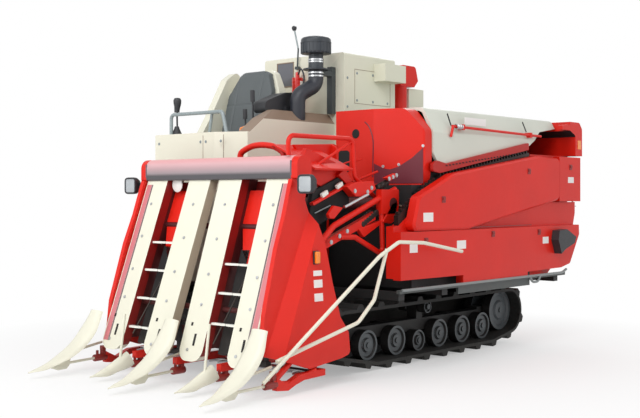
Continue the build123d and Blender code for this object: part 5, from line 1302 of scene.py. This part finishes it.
class COMBINE_OT_finishes(bpy.types.Operator):
    """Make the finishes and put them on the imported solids"""
    bl_idname, bl_label = "combine.finishes", "Finishes"

    def execute(self, context):
        make_finishes()
        make_trees()
        dress_nodes()
        return {"FINISHED"}


class COMBINE_OT_cases(bpy.types.Operator):
    """Dress the raking cases"""
    bl_idname, bl_label = "combine.cases", "Raking cases"

    def execute(self, context):
        build_cases()
        return {"FINISHED"}


class COMBINE_OT_bar(bpy.types.Operator):
    """Dress the bar across the header with its hoop, hood and lamps"""
    bl_idname, bl_label = "combine.bar", "Header bar"

    def execute(self, context):
        build_bar()
        build_headlights()
        return {"FINISHED"}


class COMBINE_OT_header_sides(bpy.types.Operator):
    """Dress the header's side covers"""
    bl_idname, bl_label = "combine.header_sides", "Header sides"

    def execute(self, context):
        build_side_marks()
        return {"FINISHED"}


class COMBINE_OT_throats(bpy.types.Operator):
    """Build the dividers and fill the throats between them"""
    bl_idname, bl_label = "combine.throats", "Dividers and throats"

    def execute(self, context):
        build_dividers()
        build_mouth()
        return {"FINISHED"}


class COMBINE_OT_conveyor(bpy.types.Operator):
    """Dress the conveyor behind the header"""
    bl_idname, bl_label = "combine.conveyor", "Conveyor"

    def execute(self, context):
        build_conveyor()
        return {"FINISHED"}


class COMBINE_OT_flank(bpy.types.Operator):
    """Dress the threshing side's covers"""
    bl_idname, bl_label = "combine.flank", "Flank"

    def execute(self, context):
        build_flank()
        return {"FINISHED"}


class COMBINE_OT_thresher(bpy.types.Operator):
    """Dress the thresher's hinged cover and front housing"""
    bl_idname, bl_label = "combine.thresher", "Thresher"

    def execute(self, context):
        build_thresher_cover()
        build_front_housing()
        return {"FINISHED"}


class COMBINE_OT_console(bpy.types.Operator):
    """Dress the operator's console"""
    bl_idname, bl_label = "combine.console", "Console"

    def execute(self, context):
        build_console()
        return {"FINISHED"}


class COMBINE_OT_intake(bpy.types.Operator):
    """Dress the intake cleaner and its hose"""
    bl_idname, bl_label = "combine.intake", "Intake"

    def execute(self, context):
        build_cleaner()
        return {"FINISHED"}


class COMBINE_OT_tank(bpy.types.Operator):
    """Dress the grain tank and the extinguisher beside it"""
    bl_idname, bl_label = "combine.tank", "Grain tank"

    def execute(self, context):
        build_tank()
        build_extinguisher()
        return {"FINISHED"}


class COMBINE_OT_grain_side(bpy.types.Operator):
    """Dress the right side and the rear"""
    bl_idname, bl_label = "combine.grain_side", "Grain side and rear"

    def execute(self, context):
        build_screen_and_platform()
        build_grain_side()
        return {"FINISHED"}


class COMBINE_OT_cushions(bpy.types.Operator):
    """Blow up the seat's cushions"""
    bl_idname, bl_label = "combine.cushions", "Cushions"

    def execute(self, context):
        build_cushions()
        return {"FINISHED"}


class COMBINE_OT_running_gear(bpy.types.Operator):
    """Close the crawlers' insides and put the tube on the guard rail"""
    bl_idname, bl_label = "combine.running_gear", "Running gear"

    def execute(self, context):
        build_running_gear()
        return {"FINISHED"}


class COMBINE_OT_stage(bpy.types.Operator):
    """Set up the floor, the light and the camera"""
    bl_idname, bl_label = "combine.stage", "Stage"

    def execute(self, context):
        build_stage()
        return {"FINISHED"}


STEPS = (COMBINE_OT_finishes, COMBINE_OT_cases, COMBINE_OT_bar, COMBINE_OT_header_sides, COMBINE_OT_throats,
         COMBINE_OT_conveyor, COMBINE_OT_flank, COMBINE_OT_thresher, COMBINE_OT_console, COMBINE_OT_intake,
         COMBINE_OT_tank, COMBINE_OT_grain_side, COMBINE_OT_cushions, COMBINE_OT_running_gear, COMBINE_OT_stage)


class COMBINE_PT_panel(bpy.types.Panel):
    """Sizes, colours and steps of the combine"""
    bl_idname, bl_label, bl_category = "COMBINE_PT_panel", "Combine", "Combine"
    bl_space_type, bl_region_type = "VIEW_3D", "UI"

    def draw(self, context):
        for group in (context.scene.combine_paint, context.scene.combine_sizes):
            for name in group.bl_rna.properties.keys():
                if name not in ("rna_type", "name"):
                    self.layout.prop(group, name)
        for step in STEPS:
            self.layout.operator(step.bl_idname)


CLASSES = (CombinePaint, CombineSizes, *STEPS, COMBINE_PT_panel)


def register():
    for kind in CLASSES:
        bpy.utils.register_class(kind)
    bpy.types.Scene.combine_paint = bpy.props.PointerProperty(type=CombinePaint)
    bpy.types.Scene.combine_sizes = bpy.props.PointerProperty(type=CombineSizes)


def unregister():
    del bpy.types.Scene.combine_sizes
    del bpy.types.Scene.combine_paint
    for kind in reversed(CLASSES):
        bpy.utils.unregister_class(kind)


def main():
    """Run every step in order."""
    register()
    for step in STEPS:
        area, name = step.bl_idname.split(".")
        result = getattr(getattr(bpy.ops, area), name)()
        if result != {"FINISHED"}:
            raise RuntimeError(f"{step.bl_idname} did not finish")


if __name__ == "__main__":
    main()
